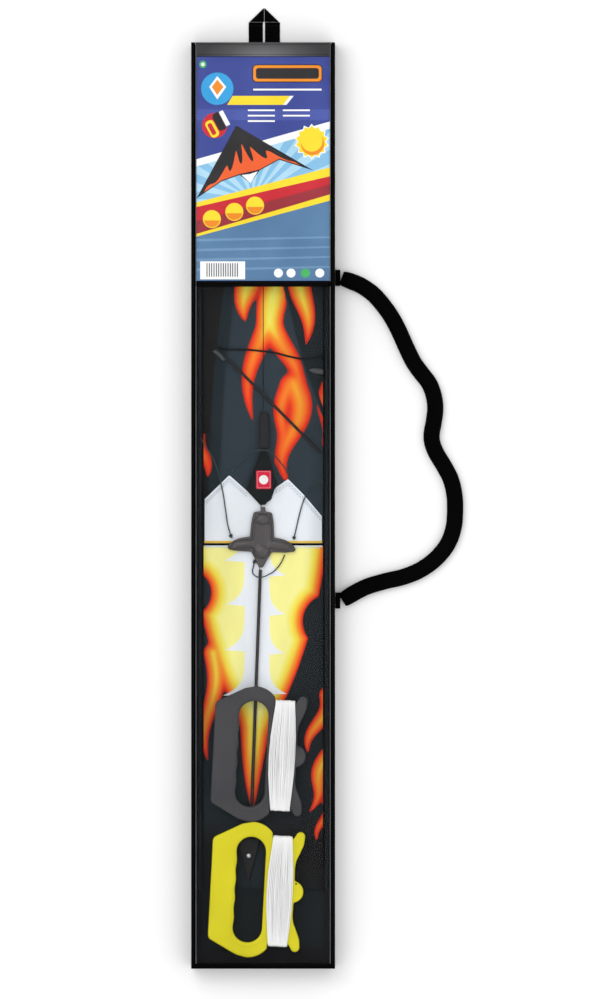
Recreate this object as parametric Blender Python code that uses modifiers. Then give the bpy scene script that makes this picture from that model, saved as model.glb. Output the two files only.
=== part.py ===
"""A delta stunt kite, folded into its clear-fronted carry sleeve with a header card, a hanger,
a shoulder strap and two line winders.

The pack lies on its back.  +X runs across it, +Y runs up to the hanger, +Z comes out of the
clear front.  Lengths are in metres.  The origin is on the surface the pack lies on, under the
middle of the pack, hanger included.
"""

import math

import bmesh
import bpy
from mathutils import Matrix, Vector

MM = 0.001
GAP = 0.3 * MM  # clearance between pieces that touch on the real pack

# Driving dimensions of the sleeve
PACK_LENGTH = 1071 * MM  # foot of the sleeve to the peak of the hanger
SLEEVE_WIDTH = 160 * MM
SLEEVE_LENGTH = 1030 * MM
SLEEVE_DEPTH = 37 * MM
CLOTH = 1.2 * MM  # padded nylon walls
FILM = 0.8 * MM  # clear vinyl
PIPING_WIDTH = 4.4 * MM
HEM_HEIGHT = 15.6 * MM  # nylon band across the mouth
CARD_HEIGHT = 250 * MM
DIVIDER_HEIGHT = 6 * MM  # tape between the card window and the main window
BINDING_HEIGHT = 5.9 * MM  # binding across the foot

# Heights of the layers inside the sleeve, bottom to top
UNDER_SAIL = (1.9 * MM, 3.1 * MM)
ROD_LAYER = 5.4 * MM  # centre of the rods between the layers of sail
FRONT_SAIL = (7.7 * MM, 9.2 * MM)
SPINE_LEVEL = 11.4 * MM  # centre of the spine
HUB = (9.5 * MM, 17.6 * MM)
WINDER_LEVEL = 25.8 * MM  # middle of a winder's thickness
POCKET = (34.0 * MM, 34.6 * MM)
CARD = (34.9 * MM, 35.5 * MM)
FRONT = 35.8 * MM  # underside of the windows

# The kite
SAIL_HALF_WIDTH = 66.5 * MM
SAIL_TOP = 468 * MM
KEEL_FOOT = -65.2 * MM  # seam between the pale keel panels and the nose panels
NOSE_TIP = (-16.8 * MM, -438 * MM)
LEADING_EDGE_X = 71.5 * MM
LEADING_EDGE_SPAN = (-447 * MM, 462 * MM)
LEADING_EDGE_ROD = 5.0 * MM  # diameter
LEADING_EDGE_LEVEL = ROD_LAYER + 0.3 * MM  # centre of the leading edges' pockets and rods
POCKET_RADIUS = 3.3 * MM
POCKET_CLOTH = 0.4 * MM
ROD_OVERHANG = 3 * MM  # how far a leading-edge rod stands out of its pocket
TIP_CAP_LENGTH = 9 * MM
TIP_CAP_DIAMETER = 6.4 * MM
SPINE_ROD = 3.6 * MM
SPREADER_ROD = 4.0 * MM
STAND_OFF_ROD = 2.2 * MM
BRIDLE = 1.4 * MM
BRAID = 2.2 * MM

# A line winder, in its own upright frame
WINDER_THICKNESS = 7.0 * MM
WINDER_TILT = math.radians(-3)
GREY_WINDER_AT = (-4.6 * MM, -297.5 * MM)
YELLOW_WINDER_AT = (-7.4 * MM, -448.4 * MM)
GRIP_HALF_HEIGHT = 57.5 * MM
HOLE_CENTRE_X = -8.1 * MM
HOLE_HALF_WIDTH = 16.4 * MM
HOLE_HALF_HEIGHT = 59 * MM
BAR_HALF_LENGTH = 58.6 * MM  # half the distance between the notches that hold the line
LINE_STACK = 3.4 * MM  # thickness of the wound line on each face
LINE_EDGES = (15.6 * MM, 37.9 * MM)  # sides of the wound line at the notches
LINE_BULGE = (4.8 * MM, 3.3 * MM)  # how much further out they are at the middle

# The shoulder strap: a soft flattened tube, loose on the surface that the pack lies on
STRAP_WIDTH = 18 * MM
STRAP_FLATNESS = 0.6
STRAP_CENTRE_Z = 5.6 * MM
STRAP_HINGE_X = 86.2 * MM
STRAP_ROUTE = [
    (87.4, 233.5), (97, 230), (109, 225), (122, 216), (133, 204), (143, 190), (152, 173),
    (160, 155), (168, 139), (177, 126.5), (185, 116), (190, 103), (192, 89), (190.5, 74),
    (188, 60), (188.5, 50), (193, 38), (202, 23), (209.5, 8), (213.5, -10), (214, -28),
    (212.5, -45), (206, -63), (193, -79.5), (176, -92), (157, -100), (136, -105), (116, -111),
    (100, -119), (88.2, -126.5),
]  # fmt: skip

# The hanger
HANGER_LEGS = ((-16.3 * MM, -0.4 * MM), (1.8 * MM, 18.6 * MM))
HANGER_FOLD_Y = 519.4 * MM
HANGER_CENTRE_X = 1.1 * MM
HANGER_THICKNESS = 1.2 * MM

FOOT = -PACK_LENGTH / 2
MOUTH = FOOT + SLEEVE_LENGTH
SIDE = SLEEVE_WIDTH / 2
CARD_TOP = MOUTH - HEM_HEIGHT
CARD_FOOT = CARD_TOP - CARD_HEIGHT
WINDOW_TOP = CARD_FOOT - DIVIDER_HEIGHT
WINDOW_FOOT = FOOT + BINDING_HEIGHT
WINDOW_SIDE = SIDE - PIPING_WIDTH

parts = None
cutters = None


def start_scene():
    """Clears the scene and makes the two collections."""
    global parts, cutters
    for obj in list(bpy.data.objects):
        bpy.data.objects.remove(obj, do_unlink=True)
    parts = bpy.data.collections.new("delta_kite_pack")
    cutters = bpy.data.collections.new("cutters")
    for collection in (parts, cutters):
        bpy.context.scene.collection.children.link(collection)


def material(name, colour, roughness, metallic=0.0, alpha=1.0):
    made = bpy.data.materials.new(name)
    made.use_nodes = True
    shader = made.node_tree.nodes["Principled BSDF"]
    shader.inputs["Base Color"].default_value = (*colour, 1.0)
    shader.inputs["Roughness"].default_value = roughness
    shader.inputs["Metallic"].default_value = metallic
    shader.inputs["Alpha"].default_value = alpha
    return made


def place(name, data, mat, at=(0, 0, 0), turn=0.0):
    obj = bpy.data.objects.new(name, data)
    obj.location = at
    obj.rotation_euler = (0, 0, turn)
    data.materials.append(mat)
    parts.objects.link(obj)
    return obj


def cube_mesh(name, size):
    mesh = bpy.data.meshes.new(name)
    shape = bmesh.new()
    bmesh.ops.create_cube(shape, size=1, matrix=Matrix.Diagonal((*size, 1)))
    shape.to_mesh(mesh)
    shape.free()
    return mesh


def box(name, x, y, z, mat):
    """A box between the two values of x, of y and of z."""
    size = [high - low for low, high in (x, y, z)]
    centre = [(high + low) / 2 for low, high in (x, y, z)]
    return place(name, cube_mesh(name, size), mat, centre)


def plate(name, outlines, z, mat, at=(0, 0), turn=0.0, edge=0.0):
    """A flat piece with these closed outlines, holes among them, between two heights."""
    curve = bpy.data.curves.new(name, "CURVE")
    curve.dimensions = "2D"
    curve.fill_mode = "BOTH"
    curve.extrude = (z[1] - z[0]) / 2
    for outline in outlines:
        spline = curve.splines.new("POLY")
        spline.points.add(len(outline) - 1)
        for point, (x, y) in zip(spline.points, outline):
            point.co = (x, y, 0, 1)
        spline.use_cyclic_u = True
    obj = place(name, curve, mat, (*at, (z[0] + z[1]) / 2), turn)
    if edge:
        weld = obj.modifiers.new("weld", "WELD")
        weld.merge_threshold = 0.01 * MM
        bevel = obj.modifiers.new("edge", "BEVEL")
        bevel.width = edge
        bevel.segments = 2
        bevel.limit_method = "ANGLE"
        bevel.angle_limit = math.radians(50)
    return obj


def tube(name, route, diameter, mat, rounding=2, flatness=1.0, ends=1.0):
    """A round rod or cord along the route.  flatness squashes it in Z, and ends narrows its tips."""
    level = route[0][2] if flatness != 1 else 0.0
    curve = bpy.data.curves.new(name, "CURVE")
    curve.dimensions = "3D"
    curve.bevel_depth = diameter / 2
    curve.bevel_resolution = rounding
    curve.use_fill_caps = True
    spline = curve.splines.new("POLY")
    spline.points.add(len(route) - 1)
    for point, (x, y, z) in zip(spline.points, route):
        point.co = (x, y, z - level, 1)
    spline.points[0].radius = spline.points[-1].radius = ends
    obj = place(name, curve, mat, (0, 0, level))
    obj.scale.z = flatness
    return obj


def smooth(points, step):
    """Points about a step apart on a Catmull-Rom curve through these points."""
    knots = [Vector(p) for p in points]
    knots = [2 * knots[0] - knots[1], *knots, 2 * knots[-1] - knots[-2]]
    route = []
    for a, b, c, d in zip(knots, knots[1:], knots[2:], knots[3:]):
        count = max(1, round((c - b).length / step))
        for i in range(count):
            t = i / count
            route.append(
                0.5 * (2 * b + (c - a) * t + (2 * a - 5 * b + 4 * c - d) * t**2
                       + (3 * b - a - 3 * c + d) * t**3)
            )  # fmt: skip
    return [tuple(p) for p in route] + [tuple(knots[-2])]


def arc(centre, radius, start, end, count):
    """Points on an arc, from one angle in degrees to the other."""
    angles = [math.radians(start + (end - start) * i / count) for i in range(count + 1)]
    return [(centre[0] + radius * math.cos(a), centre[1] + radius * math.sin(a)) for a in angles]


def mirrored_down(points):
    """The same points below the X axis, in the order that goes on round the outline."""
    return [(x, -y) for x, y in reversed(points)]


def scaled(points):
    """Millimetre coordinates in metres."""
    return [tuple(c * MM for c in p) for p in points]


def cut(obj, cutter):
    boolean = obj.modifiers.new("cut", "BOOLEAN")
    boolean.operation = "DIFFERENCE"
    boolean.solver = "EXACT"
    boolean.object = cutter


def as_cutter(obj):
    parts.objects.unlink(obj)
    cutters.objects.link(obj)
    obj.hide_render = True
    obj.display_type = "WIRE"
    return obj


# The sleeve ---------------------------------------------------------------------------------


def sleeve():
    nylon = material("black_nylon", (0.010, 0.010, 0.012), 0.55)
    lining = material("black_lining", (0.018, 0.015, 0.015), 0.7)
    piping = material("black_piping", (0.003, 0.003, 0.003), 0.5)
    vinyl = material("clear_vinyl", (0.95, 0.97, 1.0), 0.08, alpha=0.12)
    inner_foot = FOOT + CLOTH
    wall = (1.8 * MM, FRONT - GAP)
    box("sleeve_back_panel", (-SIDE, SIDE), (FOOT, MOUTH), (0, 1.5 * MM), nylon)
    box("sleeve_left_gusset", (-SIDE, -SIDE + CLOTH), (FOOT, MOUTH), wall, nylon)
    box("sleeve_right_gusset", (SIDE - CLOTH, SIDE), (FOOT, MOUTH), wall, nylon)
    inside = SIDE - CLOTH - GAP
    box("sleeve_foot_panel", (-inside, inside), (FOOT, inner_foot), wall, nylon)
    box("card_pocket_lining", (-inside, inside), (WINDOW_TOP, CARD_TOP), POCKET, lining)
    clear = (FRONT, FRONT + FILM)
    tape = (FRONT, SLEEVE_DEPTH)
    across = (-WINDOW_SIDE + GAP, WINDOW_SIDE - GAP)
    box("main_window", across, (WINDOW_FOOT + GAP, WINDOW_TOP - GAP), clear, vinyl)
    box("card_window", across, (CARD_FOOT + GAP, CARD_TOP - GAP), clear, vinyl)
    box("window_divider_tape", across, (WINDOW_TOP, CARD_FOOT), tape, piping)
    box("mouth_hem_band", across, (CARD_TOP, MOUTH), tape, nylon)
    box("foot_binding", across, (FOOT, WINDOW_FOOT), tape, piping)
    box("left_piping", (-SIDE, -WINDOW_SIDE), (FOOT, MOUTH), tape, piping)
    box("right_piping", (WINDOW_SIDE, SIDE), (FOOT, MOUTH), tape, piping)


def header_card():
    card = material("printed_card", (0.05, 0.09, 0.35), 0.35)
    side = 75 * MM
    box("header_card", (-side, side), (CARD_FOOT + GAP, CARD_TOP - GAP), CARD, card)


def hanger():
    webbing = material("hanger_webbing", (0.006, 0.006, 0.007), 0.5)
    height = (0, HANGER_THICKNESS)
    legs = (MOUTH + GAP, HANGER_FOLD_Y - GAP)
    for side, (low, high) in zip(("left", "right"), HANGER_LEGS):
        box(f"hanger_{side}_leg", (low, high), legs, height, webbing)
    half = 16.5 * MM
    peak = (HANGER_CENTRE_X, PACK_LENGTH / 2)
    fold = [
        (HANGER_CENTRE_X - half, HANGER_FOLD_Y),
        (HANGER_CENTRE_X + half, HANGER_FOLD_Y),
        peak,
    ]
    plate("hanger_peak", [fold], (0, 1.5 * HANGER_THICKNESS), webbing)


def strap():
    webbing = material("strap_webbing", (0.002, 0.002, 0.002), 0.55)
    points = [(x * MM, y * MM, STRAP_CENTRE_Z) for x, y in STRAP_ROUTE]
    route = smooth(points, 12 * MM)
    tube("carry_strap", route, STRAP_WIDTH, webbing, 2, STRAP_FLATNESS, 0.3)
    for name, (_, y, _) in (("upper", points[0]), ("lower", points[-1])):
        width = (y - STRAP_WIDTH / 2, y + STRAP_WIDTH / 2)
        level = (STRAP_CENTRE_Z - 0.5 * MM, STRAP_CENTRE_Z + 0.5 * MM)
        reach = (SIDE + GAP, STRAP_HINGE_X - 0.2 * MM)
        box(f"strap_{name}_tab", reach, width, level, webbing)


# The kite -----------------------------------------------------------------------------------


def sail():
    """The folded sail: one under layer and one front layer of sewn panels on each side."""
    dark = material("dark_ripstop", (0.022, 0.036, 0.042), 0.5)
    flame = material("flame_ripstop", (0.95, 0.72, 0.08), 0.5)
    pale = material("pale_ripstop", (0.80, 0.86, 0.93), 0.5)
    half = SAIL_HALF_WIDTH / MM
    top = SAIL_TOP / MM
    foot = KEEL_FOOT / MM
    under = [(-half, -515), (-9, -515), (-9, -400), (-0.4, -60), (-0.4, top), (-half, top)]
    under_right = [(half, -515), (-8.2, -515), (-8.2, -400), (0.4, -60), (0.4, top), (half, top)]
    nose = [(-half, -448), (-14.6, -448), (-14, -410), (-3.6, foot - 0.4), (-half, foot - 0.4)]
    nose_right = [
        (half, -448), (-13.8, -448), (-13.2, -410), (-2.8, foot - 0.4), (half, foot - 0.4),
    ]  # fmt: skip
    keel = [(-half, foot), (-3, foot), (-3, -20.5), (-17.9, -4.4), (-37.9, 13.4), (-half, -14.5)]
    keel_right = [
        (half, foot), (-2.2, foot), (-2.2, -20.6), (8.8, -14.3), (13.2, -1), (27.7, 9),
        (45.5, -8.8), (half, -33.7),
    ]  # fmt: skip
    wing = [(-half, -13.7), (-37.9, 14.3), (-17.7, -3.6), (-0.4, -18.8), (-0.4, top), (-half, top)]
    wing_right = [
        (half, -33), (45.5, -8), (27.7, 9.9), (12.7, -0.4), (8.2, -13.8), (0.4, -18.4),
        (0.4, top), (half, top),
    ]  # fmt: skip
    layers = [
        ("under_sail", under, under_right, UNDER_SAIL, dark),
        ("nose_panel", nose, nose_right, FRONT_SAIL, flame),
        ("keel_panel", keel, keel_right, FRONT_SAIL, pale),
        ("wing_panel", wing, wing_right, FRONT_SAIL, dark),
    ]
    for name, left, right, height, mat in layers:
        plate(f"{name}_left", [scaled(left)], height, mat)
        plate(f"{name}_right", [scaled(right)], height, mat)
    tail_patch = [(-2, 42.7), (4, 42.7), (15.5, 3), (2.8, -19.5), (-2.8, -19.5), (-19, -2.5)]
    tail_level = SPINE_LEVEL + SPINE_ROD / 2 + GAP
    tail_top = tail_level + 0.8 * MM
    plate("tail_patch", [scaled(tail_patch)], (tail_level, tail_top), dark)
    red = material("red_label", (0.65, 0.02, 0.05), 0.6)
    label = (tail_top + GAP, tail_top + 0.9 * MM)
    box("fabric_label", (-7.9 * MM, 8.8 * MM), (-2 * MM, 18.5 * MM), label, red)


def pocket(name, x, mat):
    """The open-ended fabric pocket along a leading edge, a thin round sleeve."""
    low, high = LEADING_EDGE_SPAN
    bpy.ops.mesh.primitive_cylinder_add(
        vertices=14, radius=POCKET_RADIUS, depth=high - low, end_fill_type="NOTHING",
        location=(x, (low + high) / 2, LEADING_EDGE_LEVEL),
        rotation=(math.radians(90), 0, 0),
    )  # fmt: skip
    obj = bpy.context.object
    obj.name = obj.data.name = name
    for collection in list(obj.users_collection):
        collection.objects.unlink(obj)
    parts.objects.link(obj)
    obj.data.materials.append(mat)
    obj.data.shade_smooth()
    wall = obj.modifiers.new("wall", "SOLIDIFY")
    wall.thickness = POCKET_CLOTH
    wall.offset = -1


def rod(name, start, end, diameter, mat, rounding=2):
    return tube(name, [start, end], diameter, mat, rounding)


def frame():
    """Rods, caps and connectors."""
    dark = bpy.data.materials["dark_ripstop"]
    glass_fibre = material("black_fibre_rod", (0.012, 0.011, 0.011), 0.35)
    rubbery = material("black_rubber_fitting", (0.012, 0.012, 0.012), 0.6)
    grey = material("grey_plastic_clip", (0.12, 0.12, 0.125), 0.5)
    low, high = LEADING_EDGE_SPAN
    level = LEADING_EDGE_LEVEL
    for side, x in (("left", -LEADING_EDGE_X), ("right", LEADING_EDGE_X)):
        pocket(f"leading_edge_pocket_{side}", x, dark)
        start = (x, low - ROD_OVERHANG, level)
        end = (x, high + ROD_OVERHANG, level)
        rod(f"leading_edge_rod_{side}", start, end, LEADING_EDGE_ROD, glass_fibre)
        start = (x, end[1] + GAP, level)
        end = (x, start[1] + TIP_CAP_LENGTH, level)
        rod(f"wing_tip_cap_{side}", start, end, TIP_CAP_DIAMETER, rubbery)
    for side, x in (("left", -30 * MM), ("right", 30 * MM)):
        start = (x, -95 * MM, ROD_LAYER)
        end = (x, 330 * MM, ROD_LAYER)
        rod(f"lower_spreader_{side}", start, end, SPREADER_ROD, glass_fibre)
    for side, x in (("left", -50 * MM), ("right", 50 * MM)):
        start = (x, -60 * MM, ROD_LAYER)
        end = (x, 95 * MM, ROD_LAYER)
        rod(f"stand_off_{side}", start, end, STAND_OFF_ROD, glass_fibre)
    lying = FRONT_SAIL[1] + GAP
    level = lying + 1.5 * MM
    start = (-39 * MM, 142.5 * MM, level)
    end = (64 * MM, 38.5 * MM, level)
    rod("upper_spreader", start, end, 3.0 * MM, glass_fibre)
    spine_top = (0.6 * MM, 42.6 * MM, SPINE_LEVEL)
    rod("spine_tail_section", (0.0, -19.8 * MM, SPINE_LEVEL), spine_top, SPINE_ROD, glass_fibre)
    joint = (-3.2 * MM, -92 * MM, SPINE_LEVEL)
    foot = (-14.2 * MM, -390.6 * MM, SPINE_LEVEL)
    rod("spine_nose_section", joint, foot, SPINE_ROD, glass_fibre)
    tail = [(-4.6, 43.2), (6.4, 43.2), (6.8, 78), (4.6, 83.5), (-2.4, 83.5), (-4.4, 78)]
    plate("spine_tail_cap", [scaled(tail)], (lying, lying + 6 * MM), rubbery, edge=1.0 * MM)
    x, y = NOSE_TIP
    nose = [(x - 12 * MM, -391 * MM), (x + 14 * MM, -391 * MM), (x + 1.5 * MM, y), (x - 1.0 * MM, y)]
    plate("nose_cap", [nose], (lying, lying + 3 * MM), rubbery, edge=0.8 * MM)
    rivet = (x + 0.5 * MM, -411 * MM)
    seat = lying + 3.3 * MM
    rod("nose_rivet", (*rivet, seat), (*rivet, seat + 1.2 * MM), 5.0 * MM, grey)
    clip = [(50, 131), (56, 126.5), (67.5, 125.5), (67.5, 131), (58, 133)]
    plate("right_spreader_clip", [scaled(clip)], (lying, lying + 3.4 * MM), grey, edge=0.8 * MM)
    clip = [(-57, 151), (-51, 146), (-45, 140), (-42, 142), (-46, 148), (-53, 154)]
    plate("left_spreader_clip", [scaled(clip)], (lying, lying + 3.4 * MM), grey, edge=0.8 * MM)


def hub():
    """The centre fitting: a tapered body, two swept arms, a neck and a pointed skirt."""
    plastic = material("warm_grey_plastic", (0.055, 0.050, 0.051), 0.4)
    right = [
        (2.6, 43), (2.8, 38), (9.2, 37.2), (10.8, 35), (12.6, 25), (13.6, 9.4), (21, 8.3),
        (26.5, 6.8), (31.5, 4.2), (35.8, 0.6), (38.2, -3.2), (36.4, -5.8), (27, -7.2),
        (11.5, -7.4), (6.4, -16.5), (2.2, -24.6),
    ]  # fmt: skip
    left = [(-x, y) for x, y in reversed(right)]
    plate(
        "centre_hub", [scaled(right + left)], HUB, plastic, (-1.7 * MM, -65 * MM),
        math.radians(-2), 1.6 * MM,
    )  # fmt: skip


def bridle():
    """The cords that lie on the folded sail.  Each route is a list of points in millimetres."""
    cord = material("dark_bridle_cord", (0.045, 0.075, 0.065), 0.8)
    braid = material("dark_braided_cord", (0.020, 0.024, 0.022), 0.8)
    routes = {
        "bridle_left": [
            (-70, 55, 10.8), (-63, 43.5, 10.9), (-56, 32, 10.2), (-50, 15, 10.2), (-45, -6, 10.2),
            (-42, -26, 10.2), (-39.6, -42, 10.2), (-36, -54.5, 10.3),
        ],
        "bridle_right": [
            (67, 5, 10.9), (58, 1.5, 10.4), (51, -3.5, 10.2), (45, -15, 10.2), (40.5, -30, 10.2),
            (37, -45, 10.2), (34.2, -57, 10.3),
        ],
        "bridle_loop": [
            (24, -75.5, 10.3), (19.5, -85, 10.2), (13, -93, 10.4), (6, -97.5, 12.6),
            (-1.5, -100.4, 14.6), (-8, -99.5, 12.6), (-12, -95, 10.4), (-11, -88.5, 10.2),
            (-9.5, -82, 10.2),
        ],
        "tail_line": [
            (-34.6, 19, 10.1), (-26, 27, 10.2), (-17, 35, 10.6), (-8, 40.2, 13.2), (1, 41.2, 15.6),
            (9, 38.6, 13.6), (16, 31.5, 10.8), (22, 24, 10.2), (27.7, 16.8, 10.1),
        ],
    }  # fmt: skip
    for name, points in routes.items():
        tube(name, smooth(scaled(points), 3.5 * MM), BRIDLE, cord)
    points = [
        (-49, 155, 11.0), (-38, 153.5, 10.7), (-22, 153.5, 10.7), (-4, 152, 10.7),
        (14, 149.5, 10.7), (30, 145.5, 10.7), (46, 143, 10.7), (66, 146, 11.2),
    ]  # fmt: skip
    tube("braided_cord", smooth(scaled(points), 6 * MM), BRAID, braid)


# The winders --------------------------------------------------------------------------------


def winder_outline():
    """A D-shaped grip, a bar notched at both ends, two horns and a half-round line tab."""
    corner = (-45.5 * MM, GRIP_HALF_HEIGHT - 5 * MM)
    grip = arc(corner, 6 * MM, 180, 108, 4)
    shoulder = arc((-13 * MM, 55 * MM), 19 * MM, 111, 96, 2)
    crown = arc((-7.5 * MM, 47.6 * MM), 28 * MM, 90, 37, 8)
    notch = scaled([(14.9, 60.8), (14.9, 58.6), (38.2, 58.6)])
    horn = arc((46 * MM, 61.8 * MM), 5.1 * MM, 165, -12, 8)
    inner = scaled([(50.2, 52.5), (46.4, 43), (42.6, 34.5), (41.6, 27)])
    tab = arc((40.2 * MM, 0), 12 * MM, 82, 0, 6)
    upper = grip + shoulder + crown + notch + horn + inner + tab
    return upper + mirrored_down(upper[:-1])


def winder_hole():
    """A long opening with round ends and four finger hollows down its grip side."""
    radius = HOLE_HALF_WIDTH
    straight = HOLE_HALF_HEIGHT - radius
    top = arc((HOLE_CENTRE_X, straight), radius, 180, 0, 12)
    foot = arc((HOLE_CENTRE_X, -straight), radius, 0, -180, 12)
    scallops = []
    count = 24
    for i in range(1, count):
        y = -straight + 2 * straight * i / count
        swell = 1.1 * MM * (1 - math.cos(2 * math.pi * (y + straight) / (straight * 0.5))) / 2
        scallops.append((HOLE_CENTRE_X - radius + swell, y))
    return top + foot + scallops


def winding(name, at, mat):
    """The wound line: a flat band round the bar, fuller in the middle, with the bar's way cut out."""
    half_length = BAR_HALF_LENGTH + GAP + LINE_STACK
    half_height = WINDER_THICKNESS / 2 + GAP + LINE_STACK
    mesh = bpy.data.meshes.new(name)
    shape = bmesh.new()
    bmesh.ops.create_cube(shape, size=2, matrix=Matrix.Diagonal((1, half_length, half_height, 1)))
    long_edges = [e for e in shape.edges if abs(e.verts[0].co.y - e.verts[1].co.y) > half_length]
    bmesh.ops.subdivide_edges(shape, edges=long_edges, cuts=7, use_grid_fill=True)
    for vertex in shape.verts:
        fullness = max(0.0, 1 - (vertex.co.y / (BAR_HALF_LENGTH - 4 * MM)) ** 2)
        left = LINE_EDGES[0] - LINE_BULGE[0] * fullness
        right = LINE_EDGES[1] + LINE_BULGE[1] * fullness
        vertex.co.x = left if vertex.co.x < 0 else right
    shape.to_mesh(mesh)
    shape.free()
    obj = place(name, mesh, mat, (*at, WINDER_LEVEL), WINDER_TILT)
    hole = (120 * MM, 2 * (BAR_HALF_LENGTH + GAP), WINDER_THICKNESS + 2 * GAP)
    cutter = place(f"{name}_bar_way", cube_mesh(f"{name}_bar_way", hole), mat, obj.location)
    cutter.rotation_euler = obj.rotation_euler
    cut(obj, as_cutter(cutter))


def winders():
    line = material("white_line", (0.88, 0.88, 0.88), 0.8)
    plastics = {
        "grey": (GREY_WINDER_AT, material("grey_plastic", (0.072, 0.070, 0.072), 0.45)),
        "yellow": (YELLOW_WINDER_AT, material("yellow_plastic", (0.78, 0.72, 0.02), 0.4)),
    }
    half = WINDER_THICKNESS / 2
    level = (WINDER_LEVEL - half, WINDER_LEVEL + half)
    outlines = [winder_outline(), winder_hole()]
    for name, (at, plastic) in plastics.items():
        plate(f"{name}_winder", outlines, level, plastic, at, WINDER_TILT, 1.2 * MM)
        winding(f"{name}_winder_line", at, line)


def main():
    start_scene()
    sleeve()
    header_card()
    hanger()
    strap()
    sail()
    frame()
    hub()
    bridle()
    winders()


main()
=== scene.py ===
"""The looks of a delta kite that is folded in its clear-fronted carry sleeve.

The pack lies on its back: +X runs across it, +Y up to the hanger, +Z out of the clear front.
Lengths are in metres, or in millimetres where a list says so.
"""

import math
import random

import bmesh
import bpy
import numpy as np
from mathutils import Matrix, Vector


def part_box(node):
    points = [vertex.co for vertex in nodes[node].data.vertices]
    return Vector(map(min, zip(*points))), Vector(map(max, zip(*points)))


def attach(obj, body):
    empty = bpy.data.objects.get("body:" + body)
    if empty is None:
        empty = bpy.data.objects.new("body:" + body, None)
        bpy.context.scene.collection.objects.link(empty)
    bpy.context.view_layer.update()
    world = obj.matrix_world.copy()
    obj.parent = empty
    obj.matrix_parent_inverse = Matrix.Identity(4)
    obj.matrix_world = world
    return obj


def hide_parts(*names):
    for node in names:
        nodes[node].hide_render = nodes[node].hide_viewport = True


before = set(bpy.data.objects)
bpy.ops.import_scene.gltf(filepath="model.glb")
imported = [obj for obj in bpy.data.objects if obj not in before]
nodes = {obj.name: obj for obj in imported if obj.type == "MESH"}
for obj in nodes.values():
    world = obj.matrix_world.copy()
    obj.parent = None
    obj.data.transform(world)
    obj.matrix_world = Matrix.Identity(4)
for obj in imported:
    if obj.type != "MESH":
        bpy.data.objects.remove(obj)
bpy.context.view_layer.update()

MM = 0.001
UP = Vector((0, 0, 1))

SIDES = ("left", "right")


def corners(cad_node):
    """The lowest and the highest corner of a CAD node."""
    return [np.array(corner, float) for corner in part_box(cad_node)]


(_, FOOT, _), (SIDE, MOUTH, _) = corners("sleeve_back_panel")
(_, WINDOW_FOOT, _), (WINDOW_SIDE, WINDOW_TOP, _) = corners("main_window")
(_, CARD_FOOT, _), (_, CARD_TOP, _) = corners("card_window")
FRONT = corners("left_piping")[1][2]
SAIL_FACE = corners("wing_panel_left")[1][2]


# --- Camera, light and floor ---

VIEW_CENTRE = (41.0 * MM, -13.8 * MM)
VIEW_HEIGHT = 1110.6 * MM
CAMERA_DISTANCE = 8.0
SENSOR = 36.0
SKY = 0.82
FLOOR_HALF = 6.0
FLOOR_DROP = 0.2 * MM  # below the pack, so that the two never share a face


def linked(name, data):
    """A new object in the scene."""
    obj = bpy.data.objects.new(name, data)
    bpy.context.scene.collection.objects.link(obj)
    return obj


def camera():
    data = bpy.data.cameras.new("camera")
    data.sensor_width = SENSOR
    data.lens = SENSOR * CAMERA_DISTANCE / VIEW_HEIGHT
    data.clip_end = 50
    obj = linked("camera", data)
    obj.location = (*VIEW_CENTRE, CAMERA_DISTANCE + FRONT)
    bpy.context.scene.camera = obj


def area_light(name, at, size, power):
    data = bpy.data.lights.new(name, "AREA")
    data.size = size
    data.energy = power
    obj = linked(name, data)
    obj.location = at
    obj.rotation_euler = (-Vector(at)).to_track_quat("-Z", "Y").to_euler()


def studio():
    world = bpy.data.worlds.new("studio")
    bpy.context.scene.world = world
    world.use_nodes = True
    sky = world.node_tree.nodes["Background"]
    sky.inputs["Color"].default_value = (1, 1, 1, 1)
    sky.inputs["Strength"].default_value = SKY
    area_light("key_light", (-0.9, 0.8, 2.8), 1.8, 24)
    area_light("fill_light", (1.2, -0.7, 2.8), 2.2, 13)
    bpy.context.scene.view_settings.view_transform = "Standard"
    mesh = bpy.data.meshes.new("floor")
    shape = bmesh.new()
    bmesh.ops.create_grid(shape, x_segments=4, y_segments=4, size=FLOOR_HALF)
    shape.to_mesh(mesh)
    shape.free()
    floor = linked("floor", mesh)
    floor.location.z = -FLOOR_DROP
    mesh.materials.append(look("floor_paper", "#fcfcfc", 0.9, specular=0.1))


# --- Materials ---


def linear(code):
    """A colour code such as #1b1a1d as linear red, green, blue and 1."""
    shares = [int(code[i : i + 2], 16) / 255 for i in (1, 3, 5)]
    return (*(c / 12.92 if c < 0.04 else ((c + 0.055) / 1.055) ** 2.4 for c in shares), 1.0)


def look(name, colour, roughness, specular=0.5, metallic=0.0, alpha=1.0):
    made = bpy.data.materials.new(name)
    made.use_nodes = True
    shader = made.node_tree.nodes["Principled BSDF"]
    shader.inputs["Base Color"].default_value = linear(colour)
    shader.inputs["Roughness"].default_value = roughness
    shader.inputs["Specular IOR Level"].default_value = specular
    shader.inputs["Metallic"].default_value = metallic
    shader.inputs["Alpha"].default_value = alpha
    return made


def node(mat, kind, inputs=None, **settings):
    """A new shader node.  An input takes a value or another node's output."""
    made = mat.node_tree.nodes.new("ShaderNode" + kind)
    for key, value in settings.items():
        setattr(made, key, value)
    for key, value in (inputs or {}).items():
        if isinstance(value, bpy.types.NodeSocket):
            mat.node_tree.links.new(value, made.inputs[key])
        else:
            made.inputs[key].default_value = value
    return made


def place_of(mat):
    return node(mat, "TexCoord").outputs["Object"]


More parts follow.
